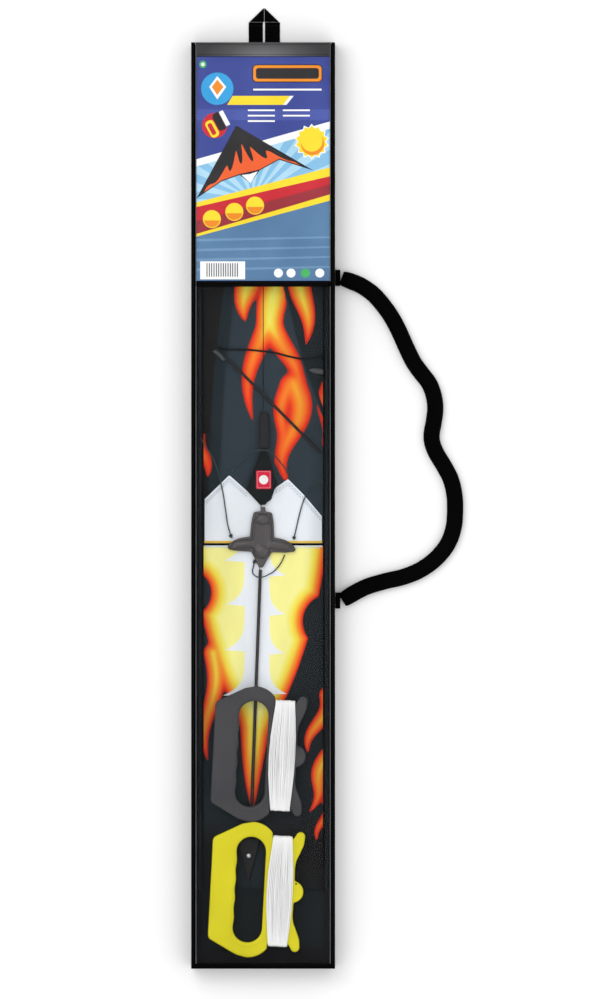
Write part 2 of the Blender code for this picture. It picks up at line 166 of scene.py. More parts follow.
def ramp(mat, factor, stops):
    """A colour for each share from 0 to 1."""
    made = node(mat, "ValToRGB", {"Fac": factor})
    elements = made.color_ramp.elements
    elements[0].position = stops[0][0]
    elements[1].position = stops[-1][0]
    for at, _ in stops[1:-1]:
        elements.new(at)
    for element, (_, colour) in zip(elements, stops):
        element.color = linear(colour)
    return made.outputs["Color"]


def blended(mat, factor, below, above, kind="MIX"):
    made = node(mat, "Mix", data_type="RGBA", blend_type=kind)
    for slot, value in ((0, factor), (6, below), (7, above)):  # the node's colour sockets
        if isinstance(value, bpy.types.NodeSocket):
            mat.node_tree.links.new(value, made.inputs[slot])
        else:
            made.inputs[slot].default_value = value
    return made.outputs[2]


def to_shader(mat, socket, value):
    mat.node_tree.links.new(value, mat.node_tree.nodes["Principled BSDF"].inputs[socket])


def noise_of(mat, size, detail=3.0, stretch=(1, 1, 1)):
    """Noise with features of about this size, drawn out along an axis by a stretch below 1."""
    mapped = node(mat, "Mapping", {"Vector": place_of(mat), "Scale": stretch}).outputs["Vector"]
    made = node(mat, "TexNoise", {"Vector": mapped, "Scale": 1 / size, "Detail": detail})
    return made.outputs["Fac"]


def mottled(mat, dark, light, size, stretch=(1, 1, 1)):
    """Colour that varies between two shades."""
    colour = ramp(mat, noise_of(mat, size, 4.0, stretch), [(0.3, dark), (0.7, light)])
    to_shader(mat, "Base Color", colour)
    return mat


def bumped(mat, height, depth, strength=0.6):
    made = node(mat, "Bump", {"Height": height, "Distance": depth, "Strength": strength})
    before = mat.node_tree.nodes["Principled BSDF"].inputs["Normal"]
    if before.is_linked:
        mat.node_tree.links.new(before.links[0].from_socket, made.inputs["Normal"])
    to_shader(mat, "Normal", made.outputs["Normal"])
    return mat


def woven(mat, pitch, depth, axes="XY"):
    """Threads that cross, a pitch apart."""
    place = place_of(mat)
    waves = [
        node(mat, "TexWave", {"Vector": place, "Scale": 0.314 / pitch}, bands_direction=axis)
        for axis in axes
    ]
    height = waves[0].outputs["Fac"]
    if len(waves) > 1:
        height = node(
            mat, "Math", {0: height, 1: waves[1].outputs["Fac"]}, operation="MULTIPLY"
        ).outputs[0]
    return bumped(mat, height, depth)


def worn(mat, low, high, size):
    """Roughness that varies over the surface."""
    made = node(mat, "MapRange", {"Value": noise_of(mat, size), "To Min": low, "To Max": high})
    to_shader(mat, "Roughness", made.outputs["Result"])
    return mat


def fabric(name, dark, light, pitch, specular=0.08, roughness=0.65):
    """Woven cloth in two close shades."""
    made = look(name, dark, roughness, specular)
    mottled(made, dark, light, 60 * MM, (1, 0.35, 1))
    return woven(made, pitch, 0.2 * MM)


def moulding(name, dark, light, roughness, specular=0.35):
    """Injection-moulded plastic with a fine eroded grain."""
    made = look(name, dark, roughness, specular)
    mottled(made, dark, light, 45 * MM)
    worn(made, roughness - 0.07, roughness + 0.1, 12 * MM)
    return bumped(made, noise_of(made, 0.7 * MM, 2.0), 0.08 * MM, 0.35)


def hem_satin():
    """The mouth band: black nylon with a painted sheen, lighter at the middle of its lower edge."""
    made = look("mouth_satin", "#2b292c", 0.45, 0.3)
    spot = node(
        made, "Mapping",
        {
            "Vector": place_of(made),
            "Location": (0, -(CARD_TOP - 1 * MM) / (24 * MM), 0),
            "Scale": (1 / (70 * MM), 1 / (24 * MM), 0),
        },
    ).outputs["Vector"]
    # Painted sheen: a round gradient about the middle of the band's lower edge lightens the base
    # colour there.
    painted_sheen = node(made, "TexGradient", {"Vector": spot}, gradient_type="SPHERICAL").outputs["Fac"]
    shades = [(0.0, "#29272a"), (0.4, "#454446"), (1.0, "#727173")]
    to_shader(made, "Base Color", ramp(made, painted_sheen, shades))
    return woven(made, 0.7 * MM, 0.1 * MM)


# The print's colours by how far a point is inside a flame, on a scale where 0.5 is the flame's
# edge and 0.025 is one millimetre.
FLAME_COLOURS = [
    (0.498, "#c82a14"), (0.535, "#f03a1c"), (0.585, "#fb6d22"), (0.66, "#fc9c2c"),
    (0.74, "#fcd444"), (0.83, "#fcec5c"), (0.97, "#fffa9c"),
]
PRINT_SCALE = 0.025


def printed_ripstop():
    """Slate cloth with a flame print and a pale middle, which the sail's attributes place."""
    made = look("printed_ripstop", "#26323a", 0.6, 0.1)
    read = {
        name: node(made, "Attribute", attribute_name=name).outputs["Fac"]
        for name in ("tone", "fire", "pale")
    }
    # The attributes carry painted shade as well as print: on the wings fire is cut back along the
    # crease and tone is lower near the left fold, and on the keels pale fades out at the sides.
    slates = [(0.0, "#131112"), (0.3, "#191c1e"), (0.6, "#1c272d"), (1.0, "#303c44")]
    cloth = ramp(made, read["tone"], slates)
    inside = ramp(made, read["fire"], [(0.492, "#000000"), (0.502, "#ffffff")])
    fire = ramp(made, read["fire"], FLAME_COLOURS)
    middle = ramp(made, read["pale"], [(0.45, "#000000"), (0.56, "#ffffff")])
    colour = blended(made, inside, cloth, fire)
    colour = blended(made, middle, colour, linear("#f1f6fc"))
    cloudy = noise_of(made, 30 * MM, 4.0, (1, 0.25, 1))
    shade = ramp(made, cloudy, [(0.25, "#ececec"), (0.7, "#ffffff")])
    to_shader(made, "Base Color", blended(made, 1.0, colour, shade, "MULTIPLY"))
    woven(made, 1.0 * MM, 0.02 * MM)
    return woven(made, 5.0 * MM, 0.06 * MM)


def clear_vinyl():
    made = look("clear_vinyl", "#5a5e62", 0.1, 0.5, alpha=0.018)
    return bumped(made, noise_of(made, 50 * MM, 2.0, (1, 0.2, 1)), 0.8 * MM, 0.3)


def line_cotton():
    made = look("white_line", "#fafafa", 0.8, 0.1)
    mottled(made, "#f6f6f6", "#ffffff", 7 * MM, (1, 0.2, 1))
    return woven(made, 0.8 * MM, 0.12 * MM, "Y")


def fibre_rod(name, dark, light):
    """Pultruded rod: fine streaks along it."""
    made = look(name, dark, 0.35, 0.3)
    mottled(made, dark, light, 5 * MM, (1, 0.06, 1))
    return bumped(made, noise_of(made, 0.6 * MM, 2.0, (1, 0.05, 1)), 0.05 * MM, 0.4)


def materials():
    """Every material, by name."""
    made = {
        "nylon": fabric("sleeve_nylon", "#161518", "#201f22", 0.8 * MM),
        "lining": fabric("pocket_lining", "#1e1b1b", "#262223", 0.8 * MM),
        "tape": fabric("binding_tape", "#010101", "#040404", 1.1 * MM, 0.02),
        "webbing": fabric("webbing", "#010101", "#040404", 1.6 * MM, 0.02),
        "hem": hem_satin(),
        "ripstop": printed_ripstop(),
        "dark_cloth": fabric("dark_ripstop", "#1a1e20", "#23292c", 0.5 * MM),
        "patch": fabric("tail_patch_cloth", "#121516", "#1b2022", 0.6 * MM),
        "tape_yellow": fabric("seam_tape_yellow", "#e9b93c", "#f3d050", 0.5 * MM),
        "red_label": fabric("red_label_cloth", "#d02039", "#e23350", 0.6 * MM),
        "label_white": fabric("label_white_thread", "#ececec", "#f7f7f7", 0.5 * MM),
        "vinyl": clear_vinyl(),
        "welt": look("welt_grey", "#56555a", 0.4, 0.4),
        "thread": fabric("thread_black", "#141416", "#232326", 0.4 * MM),
        "teal_thread": fabric("thread_teal", "#5d8596", "#7ba2b2", 0.4 * MM),
        "pale_hem": fabric("pale_hem_cloth", "#d5dfe9", "#eaf1f8", 0.5 * MM),
        "rod": fibre_rod("black_fibre_rod", "#141314", "#232122"),
        "spine": fibre_rod("spine_fibre_rod", "#1f1b1c", "#2f2b2c"),
        "rubber": moulding("black_rubber", "#121213", "#1e1e20", 0.6, 0.2),
        "clip": moulding("grey_clip_plastic", "#1c1e20", "#2b2e30", 0.3, 0.5),
        "steel": look("rivet_steel", "#b8b9bb", 0.3, 0.5, 1.0),
        "hub": moulding("hub_plastic", "#332e2f", "#454041", 0.34, 0.5),
        "bridle": woven(look("bridle_cord", "#3a4846", 0.85, 0.15), 0.5 * MM, 0.1 * MM),
        "braid": woven(look("braided_cord", "#151b1a", 0.85, 0.15), 0.6 * MM, 0.1 * MM),
        "grey": moulding("grey_plastic", "#383739", "#434244", 0.5, 0.2),
        "yellow": moulding("yellow_plastic", "#cfc50e", "#dbd118", 0.45, 0.2),
        "line": line_cotton(),
    }
    mottled(made["welt"], "#4c4b50", "#66656a", 20 * MM)
    worn(made["steel"], 0.2, 0.4, 2 * MM)
    return made


# --- Mesh helpers ---

LOOKS = {}  # every material by its short name, filled by main


def piece(name, data, finish, body):
    """A new piece in the scene that rides on a body."""
    obj = linked(name, data)
    data.materials.append(LOOKS[finish])
    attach(obj, body)
    return obj


def stand_in(cad_node, name, data, finish, body):
    """A new piece in the place of a CAD node."""
    obj = piece(name, data, finish, body)
    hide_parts(cad_node)
    return obj


def finished(name, shape, sharp=40):
    """A bmesh as a mesh with its faces turned out and its soft edges shaded smooth."""
    bmesh.ops.recalc_face_normals(shape, faces=shape.faces)
    mesh = bpy.data.meshes.new(name)
    shape.to_mesh(mesh)
    shape.free()
    mesh.shade_smooth()
    mesh.set_sharp_from_angle(angle=math.radians(sharp))
    return mesh


def mesh_of(name, points, faces, sharp=40):
    rough = bpy.data.meshes.new("rough")
    rough.from_pydata([tuple(p) for p in points], [], [tuple(f) for f in faces])
    shape = bmesh.new()
    shape.from_mesh(rough)
    bpy.data.meshes.remove(rough)
    return finished(name, shape, sharp)


def shell(name, top, bottom, sharp=40):
    """The closed mesh between two grids of points."""
    rows, columns = top.shape[:2]
    count = rows * columns
    index = np.arange(count).reshape(rows, columns)
    around = [index[:-1, :-1], index[1:, :-1], index[1:, 1:], index[:-1, 1:]]
    quads = np.stack(around, -1).reshape(-1, 4)
    rim = np.concatenate([index[0, :], index[1:, -1], index[-1, -2::-1], index[-2:0:-1, 0]])
    after = np.roll(rim, -1)
    walls = np.stack([rim, rim + count, after + count, after], -1)
    points = np.concatenate([top.reshape(-1, 3), bottom.reshape(-1, 3)])
    faces = np.concatenate([quads, quads[:, ::-1] + count, walls])
    return mesh_of(name, points.tolist(), faces.tolist(), sharp)


def stations(low, high, step, rim):
    """Places from low to high, closer together at both ends where an edge is rounded."""
    inner = np.linspace(low + rim, high - rim, max(2, round((high - low - 2 * rim) / step) + 1))
    shares = np.array([0.0, 0.13, 0.4, 0.7])
    return np.concatenate([low + rim * shares, inner, (high - rim * shares)[::-1]])


def ripples(x, y, seed, length, slant=0.25):
    """Gentle uneven waves between about -1 and 1, mostly running along Y."""
    draw = random.Random(seed)
    total = np.zeros_like(x)
    for _ in range(7):
        across = draw.uniform(0.5, 1.6) / length
        along = draw.uniform(-slant, slant) / length
        total += np.sin(2 * math.pi * (x * across + y * along) + draw.uniform(0, 6.3))
    return total / 4


def fullness(u, v, rim):
    """How full a soft edge is over a grid, from 0 at its rim to 1 inside."""
    inset = np.minimum.reduce([u - u.min(), u.max() - u, v - v.min(), v.max() - v])
    return np.sqrt(np.clip(1 - (1 - np.clip(inset / rim, 0, 1)) ** 2, 0, 1))


def slab(
    name, cad_node, finish, body, thin=2, step=8 * MM, rim=0.5 * MM, wave=0.0, crown=0.0
):
    """A soft piece in the place of a box: rounded edges, a crown and a slight wave."""
    low, high = corners(cad_node)
    a, b = [axis for axis in range(3) if axis != thin]
    rim = min(rim, 0.45 * (high[a] - low[a]), 0.45 * (high[b] - low[b]))
    places = [stations(low[axis], high[axis], step, rim) for axis in (a, b)]
    u, v = np.meshgrid(*places, indexing="ij")
    full = 0.12 + 0.88 * fullness(u, v, rim)
    half = (high[thin] - low[thin]) / 2 - wave
    middle = (high[thin] + low[thin]) / 2 + wave * ripples(u, v, len(name), 40 * MM)
    reach = 1 - crown + crown * np.sin(math.pi * (u - low[a]) / (high[a] - low[a]))
    grids = []
    for lift in (half * reach, -half):
        grid = np.zeros((*u.shape, 3))
        grid[..., a], grid[..., b], grid[..., thin] = u, v, middle + lift * full
        grids.append(grid)
    return stand_in(cad_node, name, shell(name, *grids), finish, body)


def strip(name, low, high, finish, body):
    """A narrow flat tape between two corners, with soft long edges."""
    rim = 0.4 * MM
    places = [stations(low[0], high[0], 4 * MM, rim), stations(low[1], high[1], 1 * MM, rim)]
    x, y = np.meshgrid(*places, indexing="ij")
    top = low[2] + (high[2] - low[2]) * (0.3 + 0.7 * fullness(x, y, rim))
    grids = [np.stack([x, y, level], -1) for level in (top, np.full(x.shape, low[2]))]
    piece(name, shell(name, *grids), finish, body)


def smooth(points, step):
    """Points about a step apart on a Catmull-Rom curve through these points."""
    knots = [np.array(p, float) for p in points]
    knots = [2 * knots[0] - knots[1], *knots, 2 * knots[-1] - knots[-2]]
    route = []
    for a, b, c, d in zip(knots, knots[1:], knots[2:], knots[3:]):
        count = max(1, round(float(np.linalg.norm(c - b)) / step))
        for i in range(count):
            t = i / count
            bend = (2 * a - 5 * b + 4 * c - d) * t**2 + (3 * b - a - 3 * c + d) * t**3
            route.append(0.5 * (2 * b + (c - a) * t + bend))
    return [tuple(p) for p in route] + [tuple(knots[-2])]


def scaled(points):
    """Millimetre coordinates in metres."""
    return [tuple(c * MM for c in p) for p in points]


def length_of(route):
    return sum(math.dist(a, b) for a, b in zip(route, route[1:]))


def oval(wide, high, sides):
    """The outline of an oval with these half sizes."""
    turns = [2 * math.pi * j / sides for j in range(sides)]
    return [(wide * math.cos(t), high * math.sin(t)) for t in turns]


def sweep(name, route, section, sharp=60):
    """A closed tube.  section(share) gives its outline, across and up, at each share of the way."""
    way = [Vector(p) for p in route]
    last = len(way) - 1
    rings = []
    for i, at in enumerate(way):
        ahead = (way[min(i + 1, last)] - way[max(i - 1, 0)]).normalized()
        across = ahead.cross(UP).normalized()
        up = across.cross(ahead)
        rings.append([at + across * u + up * v for u, v in section(i / last)])
    count = len(rings[0])
    faces = [list(range(count)), list(range(last * count, (last + 1) * count))]
    for i in range(last):
        for j in range(count):
            k = (j + 1) % count
            faces.append((i * count + j, i * count + k, (i + 1) * count + k, (i + 1) * count + j))
    return mesh_of(name, [p for ring in rings for p in ring], faces, sharp)


def stitches(
    name, runs, finish, body, stitch=2.6 * MM, pitch=3.6 * MM, width=0.5 * MM
):
    """Rows of sewn stitches, each a small closed bar with blunt ends."""
    points = []
    faces = []
    for start, end in runs:
        start, end = Vector(start), Vector(end)
        ahead = (end - start).normalized()
        across = ahead.cross(UP).normalized() * width / 2
        count = int((end - start).length / pitch)
        for i in range(count):
            first = start + ahead * (i + 0.5) * (end - start).length / count
            base = len(points)
            for along, size in ((-0.5, 0.4), (-0.3, 1.0), (0.3, 1.0), (0.5, 0.4)):
                at = first + ahead * along * stitch
                for u, v in ((1, 0), (0.6, 0.8), (-0.6, 0.8), (-1, 0), (-0.6, -0.5), (0.6, -0.5)):
                    points.append(at + across * u * size + UP * v * size * width / 2)
            for ring in range(3):
                for j in range(6):
                    k = (j + 1) % 6
                    low, high = base + ring * 6, base + ring * 6 + 6
                    faces.append((low + j, low + k, high + k, high + j))
            faces.append([base + j for j in range(6)])
            faces.append([base + 18 + j for j in range(6)])
    piece(name, mesh_of(name, points, faces), finish, body)


def turned(at, turn):
    """A place with a turn about Z."""
    return Matrix.Translation(at) @ Matrix.Rotation(turn, 4, "Z")


def ellipsoid(shape, at, sizes, segments, rings):
    """Adds a ball with these half sizes, in the frame of a place, to a bmesh."""
    sized = at @ Matrix.Diagonal((*sizes, 1))
    bmesh.ops.create_uvsphere(shape, u_segments=segments, v_segments=rings, radius=1, matrix=sized)


def prism(shape, outline, low, high):
    """Adds a closed flat piece with this outline to a bmesh."""
    face = shape.faces.new([shape.verts.new((x, y, low)) for x, y in outline])
    made = bmesh.ops.extrude_face_region(shape, geom=[face])["geom"]
    raised = [v for v in made if isinstance(v, bmesh.types.BMVert)]
    bmesh.ops.translate(shape, verts=raised, vec=(0, 0, high - low))


def moulded(name, mesh, voxel, rounds):
    """One soft-edged skin round everything in a mesh."""
    obj = linked(f"{name}_form", mesh)
    remesh = obj.modifiers.new("skin", "REMESH")
    remesh.mode = "VOXEL"
    remesh.voxel_size = voxel
    softened = obj.modifiers.new("soften", "SMOOTH")
    softened.factor = 0.5
    softened.iterations = rounds
    made = bpy.data.meshes.new_from_object(obj.evaluated_get(bpy.context.evaluated_depsgraph_get()))
    made.name = name
    made.materials.clear()
    bpy.data.objects.remove(obj)
    made.shade_smooth()
    return made


def cad_copy(cad_node):
    """A copy of a CAD node's mesh, to work on."""
    return nodes[cad_node].data.copy()


def rod_line(cad_node):
    """The two ends and the radius of a straight rod."""
    points = np.array([v.co for v in nodes[cad_node].data.vertices])
    centre = points.mean(axis=0)
    along = np.linalg.svd(points - centre, full_matrices=False)[2][0]
    reach = (points - centre) @ along
    off = points - centre - np.outer(reach, along)
    radius = float(np.linalg.norm(off, axis=1).max())
    return centre + along * reach.min(), centre + along * reach.max(), radius


def rod(name, cad_node, finish):
    """A rod with chamfered ends in the place of a CAD rod."""
    start, end, radius = rod_line(cad_node)
    chamfer = min(0.3 * MM, radius / 3)
    inset = chamfer / float(np.linalg.norm(end - start))
    route = [start + (end - start) * share for share in (0, inset, 0.5, 1 - inset, 1)]

    def section(share):
        reach = radius - chamfer if share in (0, 1) else radius
        return oval(reach, reach, 20)

    stand_in(cad_node, name, sweep(name, route, section, 35), finish, "kite")


def plate(cad_node, name, outlines, bevel, finish, body):
    """Flat cut shapes with soft edges, as thick as the CAD node that they replace."""
    low, high = corners(cad_node)
    shape = bmesh.new()
    for outline in outlines:
        prism(shape, outline, low[2], high[2])
    edges = list(shape.edges)
    bmesh.ops.bevel(shape, geom=edges, offset=bevel, segments=2, affect="EDGES")
    stand_in(cad_node, name, finished(name, shape), finish, body)


def stud(name, place, foot, top, depth, sides, finish, body):
    """A small round button, from its radius at the foot and at the top."""
    shape = bmesh.new()
    bmesh.ops.create_cone(
        shape, cap_ends=True, segments=sides, radius1=foot, radius2=top, depth=depth, matrix=place
    )
    piece(name, finished(name, shape, 50), finish, body)


# --- Cords ---

STRAP_WIDTH = 18 * MM
STRAP_THICKNESS = 10.2 * MM
# The strap's route as it lies beside the sleeve: its height and its (x, y), in millimetres
STRAP_LEVEL = 5.6
STRAP_ROUTE = [
    (87.4, 233.5), (97, 230), (109, 225), (122, 216), (133, 204), (143, 190), (152, 173),
    (160, 155), (168, 139), (177, 126.5), (185, 116), (190, 103), (192, 89), (190.5, 74),
    (188, 60), (188.5, 50), (193, 38), (202, 23), (209.5, 8), (213.5, -10), (214, -28),
    (212.5, -45), (206, -63), (193, -79.5), (176, -92), (157, -100), (136, -105), (116, -111),
    (100, -119), (88.2, -126.5),
]

BRIDLE = 1.4 * MM
BRAID = 2.2 * MM
# The routes of the cords on the folded sail, in millimetres
CORD_ROUTES = {
    "bridle_left": [
        (-70, 55, 10.8), (-63, 43.5, 10.9), (-56, 32, 10.2), (-50, 15, 10.2), (-45, -6, 10.2),
        (-42, -26, 10.2), (-39.6, -42, 10.2), (-36, -54.5, 10.3),
    ],
    "bridle_right": [
        (67, 5, 10.9), (58, 1.5, 10.4), (51, -3.5, 10.2), (45, -15, 10.2), (40.5, -30, 10.2),
        (37, -45, 10.2), (34.2, -57, 10.3),
    ],
    "bridle_loop": [
        (24, -75.5, 10.3), (19.5, -85, 10.2), (13, -93, 10.4), (6, -97.5, 12.6),
        (-1.5, -100.4, 14.6), (-8, -99.5, 12.6), (-12, -95, 10.4), (-11, -88.5, 10.2),
        (-9.5, -82, 10.2),
    ],
    "tail_line": [
        (-34.6, 19, 10.1), (-26, 27, 10.2), (-17, 35, 10.6), (-8, 40.2, 13.2), (1, 41.2, 15.6),
        (9, 38.6, 13.6), (16, 31.5, 10.8), (22, 24, 10.2), (27.7, 16.8, 10.1),
    ],
    "braided_cord": [
        (-49, 155, 11.0), (-38, 153.5, 10.7), (-22, 153.5, 10.7), (-4, 152, 10.7),
        (14, 149.5, 10.7), (30, 145.5, 10.7), (46, 143, 10.7), (66, 146, 11.2),
    ],
}


def strap():
    """A soft flattened strap, sewn flat at both ends."""
    route = smooth([(x * MM, y * MM, STRAP_LEVEL * MM) for x, y in STRAP_ROUTE], 2.5 * MM)
    sides = 28
    flat_share = 0.03  # of the strap's length at each end

    def section(share):
        near = min(1.0, min(share, 1 - share) / flat_share)
        swell = 0.32 + 0.68 * math.sqrt(max(0.0, near * (2 - near)))
        wide = STRAP_WIDTH / 2 * (0.7 + 0.3 * swell)
        high = STRAP_THICKNESS / 2 * swell
        ring = []
        for j, (u, v) in enumerate(oval(1, 1, sides)):
            rib = 1 + 0.012 * math.cos(math.pi * j)
            u, v = (math.copysign(abs(c) ** 0.8, c) for c in (u, v))
            ring.append((wide * rib * u, high * rib * v))
        return ring

    name = "shoulder_strap"
    obj = stand_in(
        "carry_strap", name, sweep(name, route, section), "webbing", "strap"
    )
    tabs = [
        slab(
            f"strap_{end}_sewn_tab", f"strap_{end}_tab", "webbing", "sleeve",
            rim=0.3 * MM,
        )
        for end in ("upper", "lower")
    ]


def cord(name, cad_node, finish, diameter=BRIDLE, strands=3, braided=False, step=0.8 * MM):
    """A laid or braided cord along its route."""
    route = smooth(scaled(CORD_ROUTES[cad_node]), step)
    total = length_of(route)
    twist = 2 * math.pi * total / (4.2 * diameter)
    sides = 14

    def section(share):
        ring = []
        for j, (u, v) in enumerate(oval(diameter / 2, diameter / 2, sides)):
            t = 2 * math.pi * j / sides
            lay = math.cos(strands * (t - twist * share / strands))
            if braided:
                lay *= math.cos(strands * (t + twist * share / strands))
            ring.append((u * (0.93 + 0.07 * lay), v * (0.93 + 0.07 * lay)))
        return ring

    mesh = sweep(name, route, section, 80)
    obj = stand_in(cad_node, name, mesh, finish, "kite")


LINE = 0.7 * MM
WINDER_TILT = math.radians(-3)
WINDER_LEVEL = 25.8 * MM
WINDERS = {"grey": (-4.6 * MM, -297.5 * MM), "yellow": (-7.4 * MM, -448.4 * MM)}
BAR_HALF_LENGTH = 58.6 * MM
BAR_HALF_THICKNESS = 3.5 * MM
LAYERS = 3
TURNS_IN_LAYER = 32
LAYER_STEP = 1.0 * MM
TURN_RADIUS = 1.9 * MM  # how round the line goes over the bar's edge
GAP = 0.3 * MM + LINE / 2  # from the bar to the middle of the first layer's line
# The bundle's two sides, in a winder's own frame, and how far each bulges at the middle
BUNDLE_LEFT, BUNDLE_RIGHT = 15.9 * MM, 37.2 * MM
BULGE_LEFT, BULGE_RIGHT = 4.6 * MM, 3.1 * MM
# The winder's moulding: its grip's edge, its opening's middle and the ring round it
GRIP_EDGE = -26 * MM
OPENING_X, OPENING_STRAIGHT = -8.1 * MM, 42.6 * MM
RING_RADIUS, RING_WIDTH = 19.6 * MM, 1.6 * MM
LINE_HOLE = (43.6 * MM, 9.1 * MM, 3.5 * MM)


def winder_place(colour):
    """A winder's own frame, in the world."""
    x, y = WINDERS[colour]
    return turned((x, y, WINDER_LEVEL), WINDER_TILT)


def winding_route(seed):
    """The line's way in a winder's own frame: turn by turn along the bar, layer on layer."""
    draw = random.Random(seed)
    corner = [math.radians(angle) for angle in (30, 60, 90)]
    step = 1 / TURNS_IN_LAYER
    route = []
    for layer in range(LAYERS):
        high = BAR_HALF_THICKNESS + GAP + layer * LAYER_STEP
        down = high - TURN_RADIUS
        for turn in range(TURNS_IN_LAYER):
            share = (turn + 0.5 * (layer % 2)) / TURNS_IN_LAYER
            ragged = draw.uniform(0, 0.9 * MM)
            sway = draw.uniform(-0.4, 0.4) * MM
            slant = draw.uniform(-0.8, 0.8) * MM
            lift = draw.uniform(0, 0.4) * MM
            far = BAR_HALF_LENGTH + GAP + layer * LAYER_STEP * 0.85 + ragged - 0.2 * MM
            out = far - TURN_RADIUS
            for face in (1, -1):
                way = [
                    (-face * out * part, high + lift * (1 - part * part))
                    for part in (1, 0.72, 0.36, 0, -0.36, -0.72, -1)
                ]
                for a in corner:
                    y = out + TURN_RADIUS * math.sin(a)
                    way.append((face * y, down + TURN_RADIUS * math.cos(a)))
                way.append((face * far, -down))
                for a in corner[:2]:
                    y = out + TURN_RADIUS * math.cos(a)
                    way.append((face * y, -down - TURN_RADIUS * math.sin(a)))
                for i, (y, z) in enumerate(way):
                    moved = share + step * (0.5 * (face < 0) + 0.5 * i / len(way))
                    across = moved if layer % 2 == 0 else 1 - moved
                    bulge = max(0.0, 1 - (y / (BAR_HALF_LENGTH - 4 * MM)) ** 2)
                    left = BUNDLE_LEFT - BULGE_LEFT * bulge
                    right = BUNDLE_RIGHT + BULGE_RIGHT * bulge
                    x = left + (right - left) * min(1.0, max(0.0, across))
                    x += (sway + slant * face * (y / far)) * bulge
                    route.append((x, y, z * face))
    return route


def winding(colour, seed):
    """About twenty-five metres of kite line on a winder's bar."""
    route = [winder_place(colour) @ Vector(p) for p in winding_route(seed)]
    name = f"{colour}_line_turns"
    data = bpy.data.curves.new(name, "CURVE")
    data.dimensions = "3D"
    data.bevel_depth = LINE / 2
    data.bevel_resolution = 1
    data.use_fill_caps = True
    spline = data.splines.new("POLY")
    spline.points.add(len(route) - 1)
    for point, at in zip(spline.points, route):
        point.co = (*at, 1)
    obj = stand_in(
        f"{colour}_winder_line", name, data, "line", f"{colour}_winder_set"
    )


# --- The sail ---

# The print's flame licks, in millimetres: the root, the length downwards, the half width at the
# root, the sway to either side and the lean of the tip
WING_LICKS = [
    ((-18, 255), 70, 17, 3, -2),
    ((8, 255), 180, 14, 10, -20),
    ((10, 215), 120, 14, -9, 26),
    ((34, 115), 112, 13, 9, -6),
    ((28, 112), 84, 9, -4, -14),
    ((42, 255), 95, 14, -4, 6),
    ((74, 112), 66, 9, -3, -8),
    ((-74, 64), 52, 9, -3, 12),
]
NOSE_LICKS = [
    ((-5, -10), 275, 78, 0, -2),
    ((-8, -200), 160, 19, 1, -4),
    ((-56, -185), 120, 10, 5, -6),
    ((72, -232), 64, 9, 5, -22),
    ((72, -300), 62, 9, -4, -20),
    ((72, -352), 42, 5, 3, -12),
]
NOSE_HOLLOWS = [((-84, -118), 26), ((75, -150), 31)]  # centres and radii
# The pale stripe's middle, half width and foot, in millimetres
STRIPE_MIDDLE = -7
STRIPE_HALF = 14
STRIPE_FOOT = -236
# The stripe's barbs on each side: how far apart, how far out, and the first one's place
STRIPE_BARBS = [(-1, 50, 24, 0.35), (1, 44, 20, 0.75)]
# The wing's left fold and its right crease, as (y, x) in millimetres
LEFT_FOLD = [
    (-30, -61), (-6, -61), (20, -61), (49, -59.3),
    (97, -57.2), (131, -54.9), (182, -48.9), (230, -43),
]
CREASE = [(38, 73), (69.5, 71.4), (109, 56), (138, 45.6), (175, 35.2), (223, 24.2)]
FAR_OUT = -90.0
OUTSIDE = -20.0  # millimetres, a depth that leaves a colour of the print out


def depth_in(x, y, licks, rounding=6.0):
    """How deep each point lies inside the nearest lick, in millimetres, below 0 outside."""
    total = np.full(x.shape, FAR_OUT)
    for points in licks:
        way = smooth(points, 6)
        deepest = np.full(x.shape, FAR_OUT)
        for (ax, ay, ar), (bx, by, br) in zip(way, way[1:]):
            run = (bx - ax) ** 2 + (by - ay) ** 2
            along = np.clip(((x - ax) * (bx - ax) + (y - ay) * (by - ay)) / run, 0, 1)
            off = np.hypot(x - ax - along * (bx - ax), y - ay - along * (by - ay))
            deepest = np.maximum(deepest, ar + (br - ar) * along - off)
        near = np.clip(rounding - np.abs(total - deepest), 0, None) / rounding
        total = np.maximum(total, deepest) + near**2 * rounding / 4
    return total


def step_at(value, width):
    """0 below zero and 1 above it, with a soft step of this width."""
    share = np.clip(value / width + 0.5, 0, 1)
    return share * share * (3 - 2 * share)


def column(table, y):
    """X of a line that is a list of (y, x)."""
    ys, xs = zip(*table)
    return np.interp(y, ys, xs)


def lick(root, length, half, sway, lean):
    """A flame's lick as points down its middle, each with its half width."""
    made = []
    for i in range(13):
        share = i / 12
        across = lean * share + sway * math.sin(2 * math.pi * share)
        reach = half * max(0.0, math.cos(math.pi / 2 * share)) ** 0.8 + 0.5
        made.append((root[0] + across, root[1] - length * share, reach))
    return made


def stripe_depth(x, y):
    """How deep each point lies in the pale stripe, whose barbs widen downwards and end square."""
    depth = np.zeros(x.shape)
    for side, pitch, out, start in STRIPE_BARBS:
        share = (-y / pitch + start) % 1.0
        here = (x - STRIPE_MIDDLE) * side >= 0
        depth = np.where(here, STRIPE_HALF + out * share**5 - np.abs(x - STRIPE_MIDDLE), depth)
    return np.minimum(depth, 0.5 * (y - STRIPE_FOOT))


